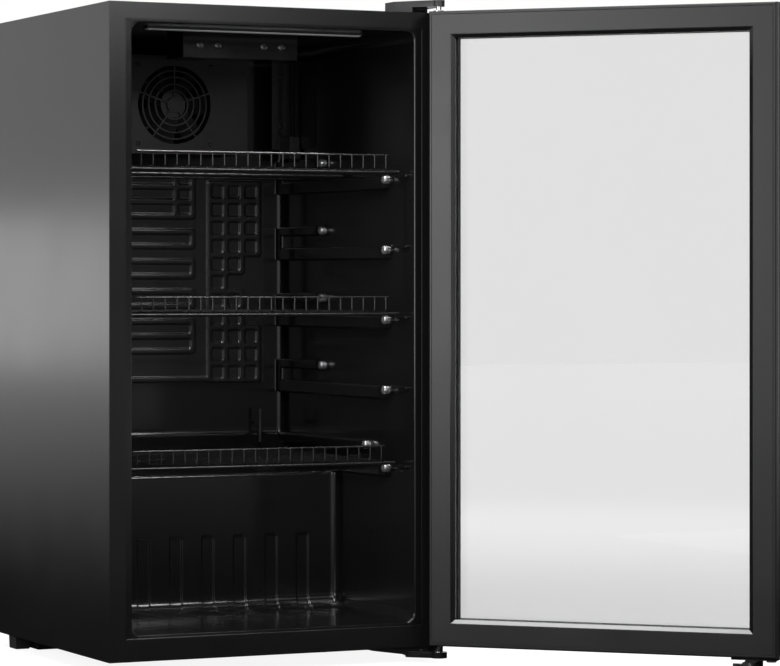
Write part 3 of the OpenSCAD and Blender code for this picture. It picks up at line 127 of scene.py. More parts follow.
panes = bpy.data.collections.new("panes")
for name, row in lamps.items():
    light = addLamp(name, *row)
    if name in paneBlind:
        light.light_linking.receiver_collection = panes
for pane in ("inner_pane", "outer_pane"):
    panes.objects.link(nodes[pane])
for entry in panes.collection_objects:
    entry.light_linking.link_state = "EXCLUDE"

# Strength of the world as light, and in reflections towards the front and towards the back. fromY and toY are
# where, in a direction's y, the front goes over to the back.
sky = {"ambient": 0.34, "reflectedFront": 0.03, "reflectedBack": 0.66, "fromY": -0.1, "toY": 0.6}


def addNode(tree, kind, **values):  # a node with its settings; i0, i1 and so on are its inputs' fixed values
    made = tree.nodes.new(kind)
    for key, value in values.items():
        if key[0] == "i" and key[1:].isdigit():
            made.inputs[int(key[1:])].default_value = value
        else:
            setattr(made, key, value)
    return made


def makeSky():  # white for the camera and through glass, and a bright rear half in reflections
    world = bpy.data.worlds.new("studio")
    bpy.context.scene.world = world
    world.use_nodes = True
    tree = world.node_tree
    path, direction, split = (addNode(tree, "ShaderNode" + kind)
                              for kind in ("LightPath", "TexCoord", "SeparateXYZ"))
    seen, strength = (addNode(tree, "ShaderNodeMath", operation="MAXIMUM") for _ in range(2))
    rear = addNode(tree, "ShaderNodeMapRange", interpolation_type="SMOOTHSTEP", i1=sky["fromY"], i2=sky["toY"],
                   i3=sky["reflectedFront"], i4=sky["reflectedBack"])
    ambient = addNode(tree, "ShaderNodeMix", data_type="FLOAT", i2=sky["ambient"])
    for a, b in ((path.outputs["Is Camera Ray"], seen.inputs[0]),
                 (path.outputs["Is Transmission Ray"], seen.inputs[1]),
                 (direction.outputs["Generated"], split.inputs[0]), (split.outputs["Y"], rear.inputs[0]),
                 (path.outputs["Is Glossy Ray"], ambient.inputs[0]), (rear.outputs[0], ambient.inputs[3]),
                 (seen.outputs[0], strength.inputs[0]), (ambient.outputs[0], strength.inputs[1]),
                 (strength.outputs[0], tree.nodes["Background"].inputs["Strength"])):
        tree.links.new(a, b)
    tree.nodes["Background"].inputs["Color"].default_value = (1, 1, 1, 1)


makeSky()
print("camera and light ready")


# Materials.
# Principled surface. Cloudy noise moves the colour from dark to light. Half of it and half of a finer noise move
# the roughness from smooth to matt, and the finer noise raises a shallow bump. cloudy and fine are repeats per
# metre, height is the bump's in mm, and fixed holds the shader's other inputs.
def finish(name, dark, light, smooth, matt, cloudy, fine, height, fixed=()):
    mat = bpy.data.materials.new(name)
    mat.use_nodes = True
    tree, shader = mat.node_tree, mat.node_tree.nodes["Principled BSDF"]
    where = addNode(tree, "ShaderNodeTexCoord")
    cloud, grain = (addNode(tree, "ShaderNodeTexNoise") for _ in range(2))
    for noise, repeats, detail in ((cloud, cloudy, 4), (grain, fine, 3)):
        noise.inputs["Scale"].default_value, noise.inputs["Detail"].default_value = repeats, detail
        tree.links.new(where.outputs["Object"], noise.inputs["Vector"])
    colour = addNode(tree, "ShaderNodeMix", data_type="RGBA", i6=(*dark, 1), i7=(*light, 1))
    half = addNode(tree, "ShaderNodeMath", operation="MULTIPLY", i1=0.5)
    both = addNode(tree, "ShaderNodeMath", operation="MULTIPLY_ADD", i1=0.5)
    rough = addNode(tree, "ShaderNodeMapRange", i1=0.3, i2=0.7, i3=smooth, i4=matt)
    bump = addNode(tree, "ShaderNodeBump")
    bump.inputs["Strength"].default_value, bump.inputs["Distance"].default_value = 0.5, height / 1000
    for a, b in ((cloud.outputs["Fac"], colour.inputs[0]), (colour.outputs[2], shader.inputs["Base Color"]),
                 (grain.outputs["Fac"], half.inputs[0]), (cloud.outputs["Fac"], both.inputs[0]),
                 (half.outputs[0], both.inputs[2]), (both.outputs[0], rough.inputs[0]),
                 (rough.outputs[0], shader.inputs["Roughness"]), (grain.outputs["Fac"], bump.inputs["Height"]),
                 (bump.outputs[0], shader.inputs["Normal"])):
        tree.links.new(a, b)
    for socket, value in dict(fixed).items():
        shader.inputs[socket].default_value = value
    return mat


# dark, light, smooth, matt, cloudy, fine, height and fixed, as above.
looks = {
    "powderCoat": ((0.0055, 0.0055, 0.0058), (0.0075, 0.0075, 0.0078), 0.2, 0.26, 9, 1100, 0.012),
    "doorPaint": ((0.009, 0.009, 0.0095), (0.012, 0.012, 0.0125), 0.3, 0.38, 9, 1300, 0.02),
    "linerPlastic": ((0.0048, 0.0048, 0.005), (0.0062, 0.0062, 0.0064), 0.13, 0.2, 22, 700, 0.008),
    "mouldedPlastic": ((0.012, 0.012, 0.0125), (0.017, 0.017, 0.018), 0.36, 0.5, 40, 1600, 0.03),
    "platePaint": ((0.0085, 0.0085, 0.009), (0.0105, 0.0105, 0.011), 0.16, 0.24, 30, 900, 0.015),
    "wireCoat": ((0.008, 0.008, 0.0085), (0.012, 0.012, 0.0125), 0.16, 0.26, 60, 1500, 0.01),
    "gasketVinyl": ((0.009, 0.009, 0.0095), (0.012, 0.012, 0.0125), 0.32, 0.4, 12, 1400, 0.02),
    "beadPlastic": ((0.0065, 0.0065, 0.0068), (0.0085, 0.0085, 0.0088), 0.1, 0.16, 25, 900, 0.01),
    "spacerBlack": ((0.002, 0.002, 0.002), (0.004, 0.004, 0.004), 0.5, 0.65, 50, 1500, 0.02,
                    {"Specular IOR Level": 0.15}),
    "panelPlastic": ((0.0055, 0.0055, 0.0058), (0.0075, 0.0075, 0.0078), 0.26, 0.34, 30, 1200, 0.02),
    "softRubber": ((0.018, 0.018, 0.018), (0.028, 0.028, 0.027), 0.6, 0.8, 70, 1800, 0.05),
    "zincSteel": ((0.55, 0.56, 0.57), (0.66, 0.66, 0.66), 0.25, 0.42, 90, 2200, 0.01, {"Metallic": 1.0}),
    "brightSteel": ((0.68, 0.68, 0.69), (0.76, 0.76, 0.77), 0.12, 0.22, 120, 2500, 0.006, {"Metallic": 1.0}),
    "pegSteel": ((0.5, 0.5, 0.51), (0.6, 0.6, 0.61), 0.14, 0.22, 120, 2500, 0.004, {"Metallic": 0.8}),
    "darkZinc": ((0.1, 0.1, 0.105), (0.15, 0.15, 0.155), 0.2, 0.34, 90, 2200, 0.01, {"Metallic": 0.85}),
    "galvanised": ((0.36, 0.37, 0.38), (0.5, 0.51, 0.52), 0.35, 0.5, 45, 300, 0.01, {"Metallic": 0.9}),
    "copperTube": ((0.5, 0.24, 0.13), (0.68, 0.36, 0.22), 0.25, 0.45, 35, 1500, 0.008, {"Metallic": 1.0}),
    "foamBoard": ((0.62, 0.5, 0.24), (0.74, 0.62, 0.34), 0.8, 0.95, 60, 900, 0.3),
    "compressorPaint": ((0.008, 0.008, 0.008), (0.014, 0.014, 0.014), 0.22, 0.34, 20, 600, 0.05),
    "frostedLens": ((0.5, 0.5, 0.51), (0.56, 0.56, 0.57), 0.3, 0.42, 80, 1200, 0.02),
}
mats = {name: finish(name, *look) for name, look in looks.items()}


# Clear glass with faint smears. Light passes straight through it in shadows, tinted by shadow.
glass = {"look": ((0.884,) * 3, (0.87516,) * 3, 0.0, 0.012, 5, 40, 0.0),
         "fixed": {"Transmission Weight": 1.0, "IOR": 1.45}, "shadow": (0.86, 0.88, 0.87, 1)}


def makeGlass(name, p):
    mat = finish(name, *p["look"], p["fixed"])
    tree = mat.node_tree
    path, clear, mix = (addNode(tree, "ShaderNode" + kind)
                        for kind in ("LightPath", "BsdfTransparent", "MixShader"))
    clear.inputs[0].default_value = p["shadow"]
    tree.links.new(path.outputs["Is Shadow Ray"], mix.inputs[0])
    tree.links.new(tree.nodes["Principled BSDF"].outputs[0], mix.inputs[1])
    tree.links.new(clear.outputs[0], mix.inputs[2])
    tree.links.new(mix.outputs[0], tree.nodes["Material Output"].inputs[0])
    return mat


mats["paneGlass"] = makeGlass("paneGlass", glass)
print("materials ready")


# Tools that make surfaces.
def quads(idx):  # four-cornered faces between the neighbours of a grid of point numbers
    return np.stack([idx[:-1, :-1], idx[1:, :-1], idx[1:, 1:], idx[:-1, 1:]], -1).reshape(-1, 4).tolist()


def readPoints(mesh):  # a mesh's points in metres
    points = np.empty(len(mesh.vertices) * 3)
    mesh.vertices.foreach_get("co", points)
    return points.reshape(-1, 3)


# One mesh from grids of points. Each part is (points[m, n, 3], join first index, join second index,
# close the two ends with flat faces).
def build(name, parts, look, body, stands=(), sharp=32, inside=False):
    points, faces, base = [], [], 0
    for grid, joinU, joinV, ends in parts:
        m, n = grid.shape[:2]
        idx = base + np.arange(m * n).reshape(m, n)
        if ends:
            faces += [idx[0, ::-1].tolist(), idx[-1].tolist()]
        if joinU:
            idx = np.vstack([idx, idx[:1]])
        if joinV:
            idx = np.hstack([idx, idx[:, :1]])
        faces += quads(idx)
        points.append(grid.reshape(-1, 3))
        base += m * n
    mesh = bpy.data.meshes.new(name)
    mesh.from_pydata(np.concatenate(points).tolist(), [], faces)
    tidy(mesh, not inside)
    return flatten(settle(name, mesh, look, body, stands, sharp))


def tidy(mesh, outward=True):  # merges points that meet, and turns the faces outwards
    work = bmesh.new()
    work.from_mesh(mesh)
    bmesh.ops.remove_doubles(work, verts=work.verts, dist=2e-6)
    bmesh.ops.dissolve_degenerate(work, edges=work.edges, dist=1e-6)
    if outward:
        bmesh.ops.recalc_face_normals(work, faces=work.faces)
    work.to_mesh(mesh)
    work.free()


def settle(name, mesh, look, body, stands=(), sharp=32):  # object, finish, body and the nodes it stands for
    mesh.polygons.foreach_set("use_smooth", [True] * len(mesh.polygons))
    mesh.set_sharp_from_angle(angle=math.radians(sharp))
    mesh.materials.clear()
    mesh.materials.append(mats[look])
    made = bpy.data.objects.new(name, mesh)
    bpy.context.collection.objects.link(made)
    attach(made, body)
    if stands:
        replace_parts(made, *stands)
    return made


def flatten(made):  # big faces keep their own direction beside small rounded ones
    mod = made.modifiers.new("flatten", "WEIGHTED_NORMAL")
    mod.mode, mod.weight, mod.keep_sharp = "FACE_AREA", 60, True
    return made


def bevel(made, width, steps=2, angle=30):  # rounds the sharp edges; width in mm
    mod = made.modifiers.new("round", "BEVEL")
    mod.width, mod.segments = width / 1000, steps
    mod.limit_method, mod.angle_limit = "ANGLE", math.radians(angle)
    mod.use_clamp_overlap = mod.harden_normals = True
    return made


def softened(node, look, body, width, steps=2):  # a merged copy of a frame node with its edges rounded
    mesh = nodes[node].data.copy()
    work = bmesh.new()
    work.from_mesh(mesh)
    bmesh.ops.remove_doubles(work, verts=work.verts, dist=1e-6)
    bmesh.ops.dissolve_limit(work, angle_limit=math.radians(1.5), verts=work.verts, edges=work.edges)
    work.to_mesh(mesh)
    work.free()
    return bevel(settle(pieceName(node), mesh, look, body, (node,)), width, steps)


def softenAll(rows):  # node: (finish, body, edge radius in mm, rings if not 2)
    for node, row in rows.items():
        softened(node, *row)


# Box with round edges, in cabinet mm: points of a sphere by latitude and longitude, each pushed out
# to the corner of the inner box that lies in its own octant.
def softBox(low, high, r, steps=3):
    low, high = np.array(low, float), np.array(high, float)
    mid, core = (low + high) / 2, (high - low) / 2 - r
    quarter = np.linspace(0, pi / 2, steps + 1)
    lat = np.concatenate([quarter - pi / 2, quarter])[:, None]
    lon = np.concatenate([quarter + k * pi / 2 for k in range(4)])[None]
    signX, signY = (np.repeat(s, steps + 1)[None] for s in ([1, -1, -1, 1], [1, 1, -1, -1]))
    signZ = np.repeat([-1, 1], steps + 1)[:, None]
    return cab(mid[0] + signX * core[0] + r * np.cos(lat) * np.cos(lon),
               mid[1] + signY * core[1] + r * np.cos(lat) * np.sin(lon),
               mid[2] + signZ * core[2] + r * np.sin(lat) + 0 * lon), False, True, True


# Profile of (radius, height) turned round an axis through centre: radius times cosine and sine of the
# turn, and the height along the axis.
def spin(centre, profile, axis="z", steps=32):
    turn = np.linspace(0, 2 * pi, steps, endpoint=False)[None]
    r, h = (np.array(profile, float)[:, k, None] for k in (0, 1))
    a, b, h = r * np.cos(turn), r * np.sin(turn), h + 0 * turn
    x, y, z = {"z": (a, b, h), "y": (a, h, b), "x": (h, a, b)}[axis]
    return cab(centre[0] + x, centre[1] + y, centre[2] + z), False, True, True


# Circle carried along a path: at each point the circle lies square to the path's direction.
def tube(path, r, sides=10, ref=(0.31, 0.52, 0.79), ring=False):
    path = np.array(path, float)
    ahead = np.roll(path, -1, 0) - np.roll(path, 1, 0) if ring else np.gradient(path, axis=0)
    ahead /= np.linalg.norm(ahead, axis=1)[:, None]
    side = np.cross(ahead, np.array(ref, float))
    side /= np.linalg.norm(side, axis=1)[:, None]
    up = np.cross(side, ahead)
    turn = np.linspace(0, 2 * pi, sides, endpoint=False)
    across, above = np.cos(turn)[None, :, None] * side[:, None], np.sin(turn)[None, :, None] * up[:, None]
    p = path[:, None] + r * (across + above)
    return cab(p[..., 0], p[..., 1], p[..., 2]), ring, True, not ring


# Flat outline carried straight from one height to another along an axis.
def slab(outline, low, high, axis="z"):
    a, b = np.array(outline, float).T
    h = np.array([low, high], float)[:, None] + 0 * a[None]
    a, b = a[None] + 0 * h, b[None] + 0 * h
    x, y, z = {"z": (a, b, h), "y": (a, h, b), "x": (h, a, b)}[axis]
    return cab(x, y, z), False, True, True


# Loop of a rectangle with round corners: four quarter circles in turn.
def roundRect(x0, z0, x1, z1, r, steps=8):
    quarter = np.linspace(0, pi / 2, steps + 1)
    centres = [(x1 - r, z1 - r), (x0 + r, z1 - r), (x0 + r, z0 + r), (x1 - r, z0 + r)]
    arcs = [(quarter + k * pi / 2, *centre) for k, centre in enumerate(centres)]
    return np.concatenate([np.stack([cx + r * np.cos(t), cz + r * np.sin(t)], -1) for t, cx, cz in arcs])


# Loop or line of points with its corners rounded: each corner turns into an arc whose points go from one
# side's direction to the other's round the centre on the corner's bisector. radii holds one number per corner.
def rounded(points, radii, steps=4, closed=True):
    points = [np.array(p, float) for p in points]
    n, out = len(points), []
    for i, c in enumerate(points):
        r = radii[i] if hasattr(radii, "__len__") else radii
        if r <= 0 or (not closed and i in (0, n - 1)):
            out.append(c[None])
            continue
        a, b = points[i - 1], points[(i + 1) % n]
        u, v = (a - c) / np.linalg.norm(a - c), (b - c) / np.linalg.norm(b - c)
        turn = pi - math.acos(np.clip(u @ v, -1, 1))
        if turn < 0.02:
            out.append(c[None])
            continue
        side = (u + v) / np.linalg.norm(u + v)
        centre = c + side * r / math.cos(turn / 2)
        start, end = (c + u * r * math.tan(turn / 2) - centre) / r, (c + v * r * math.tan(turn / 2) - centre) / r
        t = np.linspace(0, 1, steps + 1)[:, None]
        out.append(centre + r * (np.sin((1 - t) * turn) * start + np.sin(t * turn) * end) / math.sin(turn))
    return np.concatenate(out)


# Floor. The camera, and rays that come through glass, see it nearly white; through glass it carries a painted
# shadow, darker close to the cooler. A reflection sees it with painted shade, black close by and bright far off,
# by the distance from the origin.
# The level seen through glass close by, with the shade distances, is a painted shadow; mirror and mirrorReach
# paint shade into the floor's reflections.
floorLevels = {"half": 14, "white": 0.9, "shadowThroughGlass": 0.62, "shade": (0.3, 3.2), "mirror": 0.86,
               "mirrorReach": (1.5, 11.0)}


def makeFloor(p):
    mesh = bpy.data.meshes.new("floor")
    h = p["half"]
    mesh.from_pydata([(-h, -h, 0), (h, -h, 0), (h, h, 0), (-h, h, 0)], [], [(0, 1, 2, 3)])
    floor = bpy.data.objects.new("floor", mesh)
    bpy.context.collection.objects.link(floor)
    mat = finish("floorPaper", (0.2, 0.2, 0.2), (0.21, 0.21, 0.21), 0.85, 0.95, 2, 60, 0.05)
    tree = mat.node_tree
    path, glow, mirror, add, pick = (addNode(tree, "ShaderNode" + kind) for kind in
                                     ("LightPath", "Emission", "Emission", "AddShader", "MixShader"))
    spot = addNode(tree, "ShaderNodeTexCoord")
    away = addNode(tree, "ShaderNodeVectorMath", operation="LENGTH")
    tree.links.new(spot.outputs["Object"], away.inputs[0])
    (shadeFrom, shadeTo), (mirrorFrom, mirrorTo) = p["shade"], p["mirrorReach"]
    # painted shadow: seen through glass, the floor's glow dims towards the cooler
    near = addNode(tree, "ShaderNodeMapRange", interpolation_type="SMOOTHERSTEP", i1=shadeFrom, i2=shadeTo,
                   i3=p["shadowThroughGlass"], i4=p["white"])
    # painted shade in reflections: the floor's glow is black close to the cooler and bright far off
    far = addNode(tree, "ShaderNodeMapRange", i1=mirrorFrom, i2=mirrorTo, i3=0.0, i4=p["mirror"])
    through = addNode(tree, "ShaderNodeMix", data_type="FLOAT")
    direct = addNode(tree, "ShaderNodeMath", operation="MULTIPLY", i1=p["white"])
    only = addNode(tree, "ShaderNodeMath", operation="SUBTRACT", use_clamp=True)
    shader, surface = tree.nodes["Principled BSDF"], tree.nodes["Material Output"]
    for a, b in ((away.outputs["Value"], near.inputs[0]), (away.outputs["Value"], far.inputs[0]),
                 (path.outputs["Is Camera Ray"], direct.inputs[0]),
                 (path.outputs["Is Transmission Ray"], through.inputs[0]),
                 (direct.outputs[0], through.inputs[2]), (near.outputs[0], through.inputs[3]),
                 (through.outputs[0], glow.inputs["Strength"]), (far.outputs[0], mirror.inputs["Strength"]),
                 (path.outputs["Is Glossy Ray"], only.inputs[0]),
                 (path.outputs["Is Transmission Ray"], only.inputs[1]),
                 (shader.outputs[0], add.inputs[0]), (glow.outputs[0], add.inputs[1]),
                 (only.outputs[0], pick.inputs[0]), (add.outputs[0], pick.inputs[1]),
                 (mirror.outputs[0], pick.inputs[2]), (pick.outputs[0], surface.inputs[0])):
        tree.links.new(a, b)
    mesh.materials.append(mat)


makeFloor(floorLevels)


def keep(node, look):  # the frame's own mesh with a better material
    mesh = nodes[node].data
    mesh.materials.clear()
    mesh.materials.append(mats[look])


# Cabinet: steel wrapper, base, back and the foam between them.
# Square opening of the flange. reach covers its round corners, and sheet its depth.
opening = {"half": 212, "low": 29, "top": 828, "reach": 26, "sheet": 1.5}


def squareOpening(made, p):  # draws the round corners of the flange's opening out to square ones
    co = readPoints(made.data)
    x, y, z = inMm(co).T
    half, low, top, span = p["half"], p["low"], p["top"], p["reach"]
    inFlange = (y < p["sheet"]) & (np.abs(x) < half + 0.01) & (z > low - 0.01) & (z < top + 0.01)
    near = inFlange & (np.abs(x) > half - span) & ((z < low + span) | (z > top - span))
    corner = cab(np.sign(x) * half, y, np.where(z < (low + top) / 2, low, top))
    co[near] = corner[near]
    made.data.vertices.foreach_set("co", co.ravel())
    tidy(made.data, False)


squareOpening(softened("outer_shell", "powderCoat", "cabinet", 0.45), opening)
softenAll({"base_frame": ("powderCoat", "cabinet", 0.3), "back_panel": ("galvanised", "cabinet", 0.5),
           "rear_grille": ("powderCoat", "cabinet", 0.25)})

# Foam: the step's corner gets a chamfer, and the hollow's walls draw back so that the round liner covers them.
# half, deep, low and top bound the hollow; side, rear, roof and floor tell its walls apart.
foam = {"stepY": 256, "stepZ": 226, "gap": 2, "cut": 3, "back": 3.5, "face": 5, "half": 214, "deep": 450,
        "low": 20, "top": 835, "side": 175, "rear": 415, "roof": 795, "floor": (60, 280)}


def makeFoam(p):
    mesh = nodes["insulation"].data.copy()
    co = readPoints(mesh)
    edge = np.linalg.norm(co[:, 1:] - cab(0, p["stepY"] + p["gap"], p["stepZ"] - p["gap"])[1:], axis=1) < 0.0005
    co[edge] += np.array([0, p["cut"], -p["cut"]]) / 1000
    x, y, z = inMm(co).T
    hollow = (np.abs(x) < p["half"]) & (y < p["deep"]) & (z > p["low"]) & (z < p["top"])
    stepFace = (np.abs(y - p["stepY"] - p["gap"]) < 1) * (z < p["stepZ"] - 4)
    floor = (z < p["floor"][0]) * (y < p["floor"][1])
    co[:, 0] += hollow * (np.abs(x) > p["side"]) * np.sign(x) * p["back"] / 1000
    co[:, 1] += hollow * ((y > p["rear"]) * p["back"] + stepFace * p["face"]) / 1000
    co[:, 2] += hollow * ((z > p["roof"]).astype(float) - floor) * p["back"] / 1000
    mesh.vertices.foreach_set("co", co.ravel())
    tidy(mesh)
    settle("foam", mesh, "foamBoard", "cabinet", ("insulation",))


makeFoam(foam)

# Liner. half, low and top bound the opening, back is the rear wall. step is the compressor's box and gutter the
# slope behind it. mouth and side are the walls' radii at the front and the rear, flange is the rim's outside.
liner = {"half": 205.5, "low": 34, "top": 824, "back": 443, "stepY": 256, "stepZ": 226, "gutterY": 398,
         "gutterZ": 270, "corner": 20, "edge": 8, "mouth": 14, "side": 11, "front": 3.2, "rimLeft": 203,
         "rimRight": 201, "flange": 212}
channels = {"n": 8, "w": 17.6, "pitch": 47.7, "mid": -15, "top": 138, "deep": 1.5, "slope": 3.4, "r": 4,
            "fade": 45}


# Side profile carried from wall to wall. Near each wall the points leave the wall on a quarter circle:
# across x by r(1 - cos a) and inwards from the profile by r(1 - sin a). r shrinks with the depth.
# Channels sink into the step: each is a round rectangle, and the depth falls on an S-curve over its edge.
# They fade out on the floor.
def makeLiner(p, c):
    edge = np.linspace(-0.5, 0.5, 7) * c["slope"]
    tops = [(p["stepY"], z) for z in c["top"] - c["r"] + np.linspace(0, c["r"] + c["slope"] / 2, 9)]
    runs = [(p["stepY"] - p["corner"] - d, p["low"]) for d in np.linspace(c["fade"], 2, 6)]
    corners = [(p["front"], p["low"])] + runs + [(p["stepY"], p["low"])] + tops
    corners += [(p["stepY"], p["stepZ"]), (p["gutterY"], p["stepZ"]), (p["back"], p["gutterZ"]),
                (p["back"], p["top"]), (p["front"], p["top"])]
    radii = [0] * 7 + [p["corner"]] + [0] * 9 + [p["edge"], p["corner"], p["corner"], p["corner"], 0]
    line = rounded(corners, radii, 10, closed=False)
    along = np.gradient(line, axis=0)
    inward = np.stack([-along[:, 1], along[:, 0]], -1) / np.linalg.norm(along, axis=1)[:, None]
    mids = c["mid"] + (np.arange(c["n"]) - (c["n"] - 1) / 2) * c["pitch"]
    cols = np.sort(np.concatenate([m + s * c["w"] / 2 + edge for m in mids for s in (-1, 1)]))
    cols = cols[None] + 0 * line[:, :1]
    dx = np.abs(cols[..., None] - mids).min(-1) - c["w"] / 2 + c["r"]
    dz = line[:, 1:] - c["top"] + c["r"] + 0 * cols
    d = np.hypot(np.maximum(dx, 0), np.maximum(dz, 0)) + np.minimum(np.maximum(dx, dz), 0) - c["r"]
    t = np.clip(0.5 - d / c["slope"], 0, 1)
    run = np.clip((line[:, :1] - p["stepY"] + p["corner"] + c["fade"]) / c["fade"], 0, 1)
    dent = c["deep"] * t * t * (3 - 2 * t) * run * run * (3 - 2 * run)
    a = np.linspace(0, pi / 2, 10)[None]
    depth = (line[:, :1] - p["front"]) / (p["back"] - p["front"])
    r = p["mouth"] + (p["side"] - p["mouth"]) * depth
    across = np.hstack([-p["half"] + r * (1 - np.cos(a)), cols, p["half"] - r * (1 - np.cos(a[:, ::-1]))])
    off = np.hstack([r * (1 - np.sin(a)), -dent, r * (1 - np.sin(a[:, ::-1]))])
    y, z = (line[:, k, None] + inward[:, k, None] * off for k in (0, 1))
    sheet = cab(across, y, z)
    mesh = bpy.data.meshes.new("innerLiner")
    idx = np.arange(sheet[..., 0].size).reshape(sheet.shape[:2])
    faces = quads(idx.T) + [idx[:, 0].tolist(), idx[::-1, -1].tolist()]  # the last two are the side walls
    mesh.from_pydata(sheet.reshape(-1, 3).tolist(), [], faces)
    made = settle("innerLiner", mesh, "linerPlastic", "cabinet", ("inner_liner",), 40)
    for wall in mesh.polygons[-2:]:
        wall.use_smooth = False
    flatten(made)


makeLiner(liner, channels)


# Rim of the liner. From the wall it steps in to a small lip on the hinge side. The lip's round rectangle then
# grows towards the flange's square opening, first on a quarter ellipse that comes forward, then flat a little
# behind the flange's face.
def makeRim(p):
    a = np.linspace(0, pi / 2, 7)
    share = np.concatenate([0.22 * (1 - np.cos(a)), [0.6, 1.2, 1.2]])
    y = np.concatenate([[p["front"] + 2.5], p["front"] - 2.7 * np.sin(a), [0.5, 0.5, 2.8]])
    wall = roundRect(-p["half"], p["low"], p["half"], p["top"], p["mouth"])
    inner = roundRect(-p["rimLeft"], p["low"], p["rimRight"], p["top"], p["mouth"])
    outer = roundRect(-p["flange"], p["low"] - 5, p["flange"], p["top"] + 4, 0.8)
    loop = np.concatenate([wall[None], inner[None] + share[:, None, None] * (outer - inner)[None]])
    grid = cab(loop[..., 0], y[:, None] + 0 * loop[..., 0], loop[..., 1])
    build("linerRim", [(grid, False, True, False)], "linerPlastic", "cabinet", ("inner_liner",), 50)


makeRim(liner)


# Pad with a round edge: loops of a round rectangle go from its base to its face. At the face they draw in by
# e(1 - cos a) while the height runs out by e sin a. lead makes the first end slant.
def raised(rect, corner, base, face, e, axis, steps=4, lead=0):
    a = np.linspace(0, pi / 2, steps + 1)
    inset = np.concatenate([[0], e * (1 - np.cos(a))])
    level = np.concatenate([[base], face - math.copysign(e, face - base) * (1 - np.sin(a))])
    slant = lead * (face - level) / (face - base)
    loops = np.stack([roundRect(rect[0] + c - s, rect[1] + c, rect[2] - c, rect[3] - c, max(corner - c, 0.1), 4)
                      for c, s in zip(inset, slant)])
    p, q = loops[..., 0], loops[..., 1]
    h = level[:, None] + 0 * p
    x, y, z = {"z": (p, q, h), "y": (p, h, q), "x": (h, p, q)}[axis]
    return cab(x, y, z), False, True, True


# Each shelf holder is a C on the side wall: a ledge, a guide rib above it and an upright at the back.
# levels are the shelves' heights, out is how far it stands out, front and rear are the pegs' places (low is the
# lowest rear one's), rise is the guide's height over the ledge. lead slants the front ends.
ledges = {"levels": [236, 342, 437.3, 532.7, 628], "out": 10, "start": 25, "front": 85, "rear": 293, "low": 147,
          "rise": 29, "over": 6, "pocket": 13, "h": 19, "guideH": 14, "upright": 15, "r": 3.4, "corner": 4,
          "ledgeLead": 20, "guideLead": 16, "proud": 0.3, "fillet": 3, "rail": 5,
          "ring": [(9.3, -3.2), (9.3, 0.2), (8.7, 1.0), (7.6, 1.4), (0, 1.4)]}


# Ledges, guides and uprights are raised pads. The inner corner of the C is a prism whose section is a concave
# quarter circle. A boss ring stands round each peg, and a thin rail ahead of each front peg.
def makeLedges(p, room):
    parts, turn = [], np.linspace(0, pi / 2, 6)
    back, foot = room["back"] + 3, room["back"] - p["upright"]
    for side in (-1, 1):
        wall, face = side * (room["half"] + 3.2), side * (room["half"] - p["out"])
        tip, q = abs(face) - 0.2, p["fillet"]
        curve = np.stack([tip - q + q * np.sin(turn), room["back"] - q + q * np.cos(turn)], -1)
        corner = np.concatenate([curve, [(tip + 2, room["back"] - q), (tip + 2, back), (tip - q, back)]])
        for i, level in enumerate(p["levels"]):
            top, rear = level + p["over"], p["low"] if i == 0 else p["rear"]
            arm = level + p["rise"]
            low, high = arm - p["guideH"] / 2, arm + p["guideH"] / 2
            ledge = (p["front"] + p["pocket"], top - p["h"], back, top)
            guide = (rear + p["pocket"], low, back, high)
            upright = (foot, top - p["h"] + p["proud"], back, high - p["proud"])
            parts.append(raised(ledge, p["corner"], wall, face, p["r"], "x", 4, p["ledgeLead"]))
            parts.append(raised(guide, p["corner"], wall, face, p["r"], "x", 4, p["guideLead"]))
            parts.append(raised(upright, p["corner"] + 1, wall, face - side * p["proud"], p["r"] + 1, "x"))
            parts.append(slab(corner * [side, 1], top - p["h"] + 2, high - 2))
            rail = (p["start"], top - 4, p["front"] - 4, top)
            parts.append(raised(rail, 1.2, wall, side * (room["half"] - p["rail"]), 1.0, "x"))
            ring = [(r, side * (room["half"] - h)) for r, h in p["ring"]]
            parts += [spin((0, y, z), ring, "x", 28) for y, z in ((p["front"], level), (rear, arm))]
    build("linerLedges", parts, "linerPlastic", "cabinet", ("inner_liner",), 60)


makeLedges(ledges, liner)

# Pegs: short steel studs, given as (radius, how far out of the wall), with a foot, a neck and a head. The head's
# edge is a quarter ellipse that draws in by round(1 - cos a) and ends round(1 - sin a) below the end.
pegs = {"out": 11.1, "r": 6, "round": 3.2,
        "stem": [(0, -1), (5.4, -1), (5.4, 2.4), (5, 2.8), (4.6, 3.1), (4.6, 3.3), (5.6, 3.6), (6, 4.0)]}


def makePegs(p, led, room):
    a = np.linspace(0, pi / 2, 7)
    edge = zip(p["r"] - p["round"] * (1 - np.cos(a)), p["out"] - p["round"] * (1 - np.sin(a)))
    profile, parts = p["stem"] + list(edge) + [(0, p["out"])], []
    for side in (-1, 1):
        shape = [(r, side * (room["half"] - h)) for r, h in profile]
        for i, level in enumerate(led["levels"]):
            for y, z in ((led["front"], level), (led["low"] if i == 0 else led["rear"], level + led["rise"])):
                parts.append(spin((0, y, z), shape, "x", 24))
    build("shelfPegs", parts, "pegSteel", "cabinet", ("shelf_pegs",), 35)


makePegs(pegs, ledges, liner)

# Kick strip under the opening, between the side flanges, with a round top edge.
kick = {"rect": (-211.6, 0.4, 211.6, 30.2), "corner": 0.5, "base": 1.0, "face": -0.3, "e": 1.2, "axis": "y"}
build("kickStrip", [raised(**kick)], "powderCoat", "cabinet", ("base_frame",), 40)
print("cabinet and liner ready")

